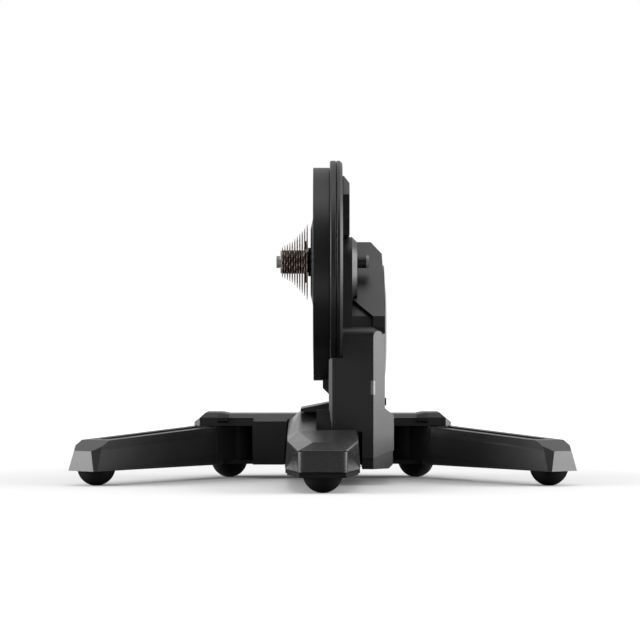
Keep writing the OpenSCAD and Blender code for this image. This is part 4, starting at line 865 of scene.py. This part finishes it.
def makeCluster(places):
    pieces = []
    for place in places:
        pieces += makeCog(place, cassette["teeth"][place])
    common = {"Axis Height": hub.z, "Finish": material["cogNickel"]}
    pieces.append(grow("clusterCarrier", spokeTree, {
        "Arms": cassette["arms"], "Inner Radius": cassette["carrierInner"],
        "Outer Radius": cassette["carrierOuter"], "Width": cassette["carrierWidth"],
        "Side": sideOf(places[1]) + cassette["inset"], "Depth": cassette["carrierDepth"], **common}))
    pieces.append(grow("clusterTube", cogTree, {
        "Teeth": cassette["tubeRoundness"], "Pitch Radius": cassette["tubeRadius"],
        "Bore Radius": cassette["bore"], "Side": sideOf(places[0]), "Thickness": cassette["tubeLength"],
        "Tooth Height": 0.0, "Gap Depth": 0.0, "Tip Inset": cassette["inset"], **common}))
    return joined("toothedCluster", pieces)


for place, teeth in enumerate(cassette["teeth"][:8]):
    cog = joined("toothedCog%d" % teeth, makeCog(place, teeth))
    finishPiece(cog, bodyOfNode["cog_%d" % teeth], "cassette_nickel", "cogNickel", "cog_%d" % teeth)
cluster = makeCluster((8, 9, 10))
finishPiece(cluster, bodyOfNode["cog_cluster"], "cassette_nickel", "cogNickel", "cog_cluster")
print("cassette ready")

# ring screws

ringScrews = {
    "count": 9,
    "circle": 0.148,
    "side": 0.02852,
    "headRadius": 0.0032,
    "headHeight": 0.0012,
    "headChamfer": 0.0003,
    "headRoundness": 32,
    "socketRadius": 0.0017,
    "socketSides": 6,
    "socketLift": 0.85,  # of the head's height
    "start": -0.7,  # degrees
}


def makeScrewTree():
    tree, given, out = growTree("socketScrews", [
        ("Count", "NodeSocketInt", 9), ("Circle Radius", "NodeSocketFloat", 0.148),
        ("Head Radius", "NodeSocketFloat", 0.0032), ("Head Height", "NodeSocketFloat", 0.0012),
        ("Socket Radius", "NodeSocketFloat", 0.0017), ("Start Angle", "NodeSocketFloat", 0.0),
        ("Side", "NodeSocketFloat", 0.0285), ("Axis Height", "NodeSocketFloat", 0.3415),
        ("Finish", "NodeSocketMaterial", None)])
    head = tree.nodes.new("GeometryNodeMeshCone")
    head.inputs["Vertices"].default_value = ringScrews["headRoundness"]
    topRadius = mathNode(tree, "SUBTRACT", given["Head Radius"], ringScrews["headChamfer"])
    tree.links.new(topRadius, head.inputs["Radius Top"])
    tree.links.new(given["Head Radius"], head.inputs["Radius Bottom"])
    tree.links.new(given["Head Height"], head.inputs["Depth"])
    key = tree.nodes.new("GeometryNodeMeshCylinder")
    key.inputs["Vertices"].default_value = ringScrews["socketSides"]
    tree.links.new(given["Socket Radius"], key.inputs["Radius"])
    tree.links.new(given["Head Height"], key.inputs["Depth"])
    lift = mathNode(tree, "MULTIPLY", given["Head Height"], ringScrews["socketLift"])
    raised = placed(tree, key.outputs["Mesh"], vectorFrom(tree, 0.0, 0.0, lift))
    cut = tree.nodes.new("GeometryNodeMeshBoolean")
    cut.operation = "DIFFERENCE"
    tree.links.new(head.outputs["Mesh"], cut.inputs["Mesh 1"])
    tree.links.new(raised, cut.inputs["Mesh 2"])
    circle = tree.nodes.new("GeometryNodeMeshCircle")
    tree.links.new(given["Count"], circle.inputs["Vertices"])
    tree.links.new(given["Circle Radius"], circle.inputs["Radius"])
    spread = tree.nodes.new("GeometryNodeInstanceOnPoints")
    tree.links.new(circle.outputs["Mesh"], spread.inputs["Points"])
    tree.links.new(cut.outputs["Mesh"], spread.inputs["Instance"])
    stood = placed(tree, spread.outputs["Instances"], None, vectorFrom(tree, 0.0, math.pi / 2, 0.0))
    turned = placed(tree, stood, vectorFrom(tree, given["Side"], 0.0, given["Axis Height"]),
                    vectorFrom(tree, given["Start Angle"], 0.0, 0.0))
    sendOut(tree, turned, given, out)
    return tree


screws = grow("ringScrewHeads", makeScrewTree(), {
    "Count": ringScrews["count"], "Circle Radius": ringScrews["circle"],
    "Head Radius": ringScrews["headRadius"], "Head Height": ringScrews["headHeight"],
    "Socket Radius": ringScrews["socketRadius"],
    "Start Angle": math.radians(ringScrews["start"] + 180), "Side": ringScrews["side"],
    "Axis Height": hub.z, "Finish": material["blackSteel"]})
finishPiece(screws, bodyOfNode["cover_screws"], "black_steel", "blackSteel", "cover_screws")
print("ring screws ready")

plainNodes = {
    "domeRubber": ["front_sole", "stand_feet", "left_tip_foot", "right_tip_foot", "drive_belt"],
    "brightSteel": ["hub_axle", "hub_bearings", "hinge_pins", "shaft_bearings", "flywheel_shaft",
                    "brake_yoke", "left_hinge_bush", "right_hinge_bush", "left_lever_spring", "right_lever_spring",
                    "idler_pulley", "idler_bracket", "small_pulley", "flywheel_nut"],
    "blackSteel": ["base_bolts"],
    "darkAlloy": ["freehub_body", "cog_spacers"],
    "lockringAlloy": ["cassette_lockring"],
    "pulleyAlloy": ["drive_pulley"],
    "capAlloy": ["end_caps"],
    "flywheelIron": ["flywheel"],
    "copperWire": ["brake_coils"],
    "boardGreen": ["control_board"],
    "windowPlastic": ["status_window"],
    "mouldedPlastic": ["axle_spacer", "speed_sensor"],
}
for finish, names in plainNodes.items():
    for name in names:
        mesh = nodes[name].data
        if mesh.materials:
            for i in range(len(mesh.materials)):
                mesh.materials[i] = material[finish]
        else:
            mesh.materials.append(material[finish])
print("all other nodes have their finishes")

# end
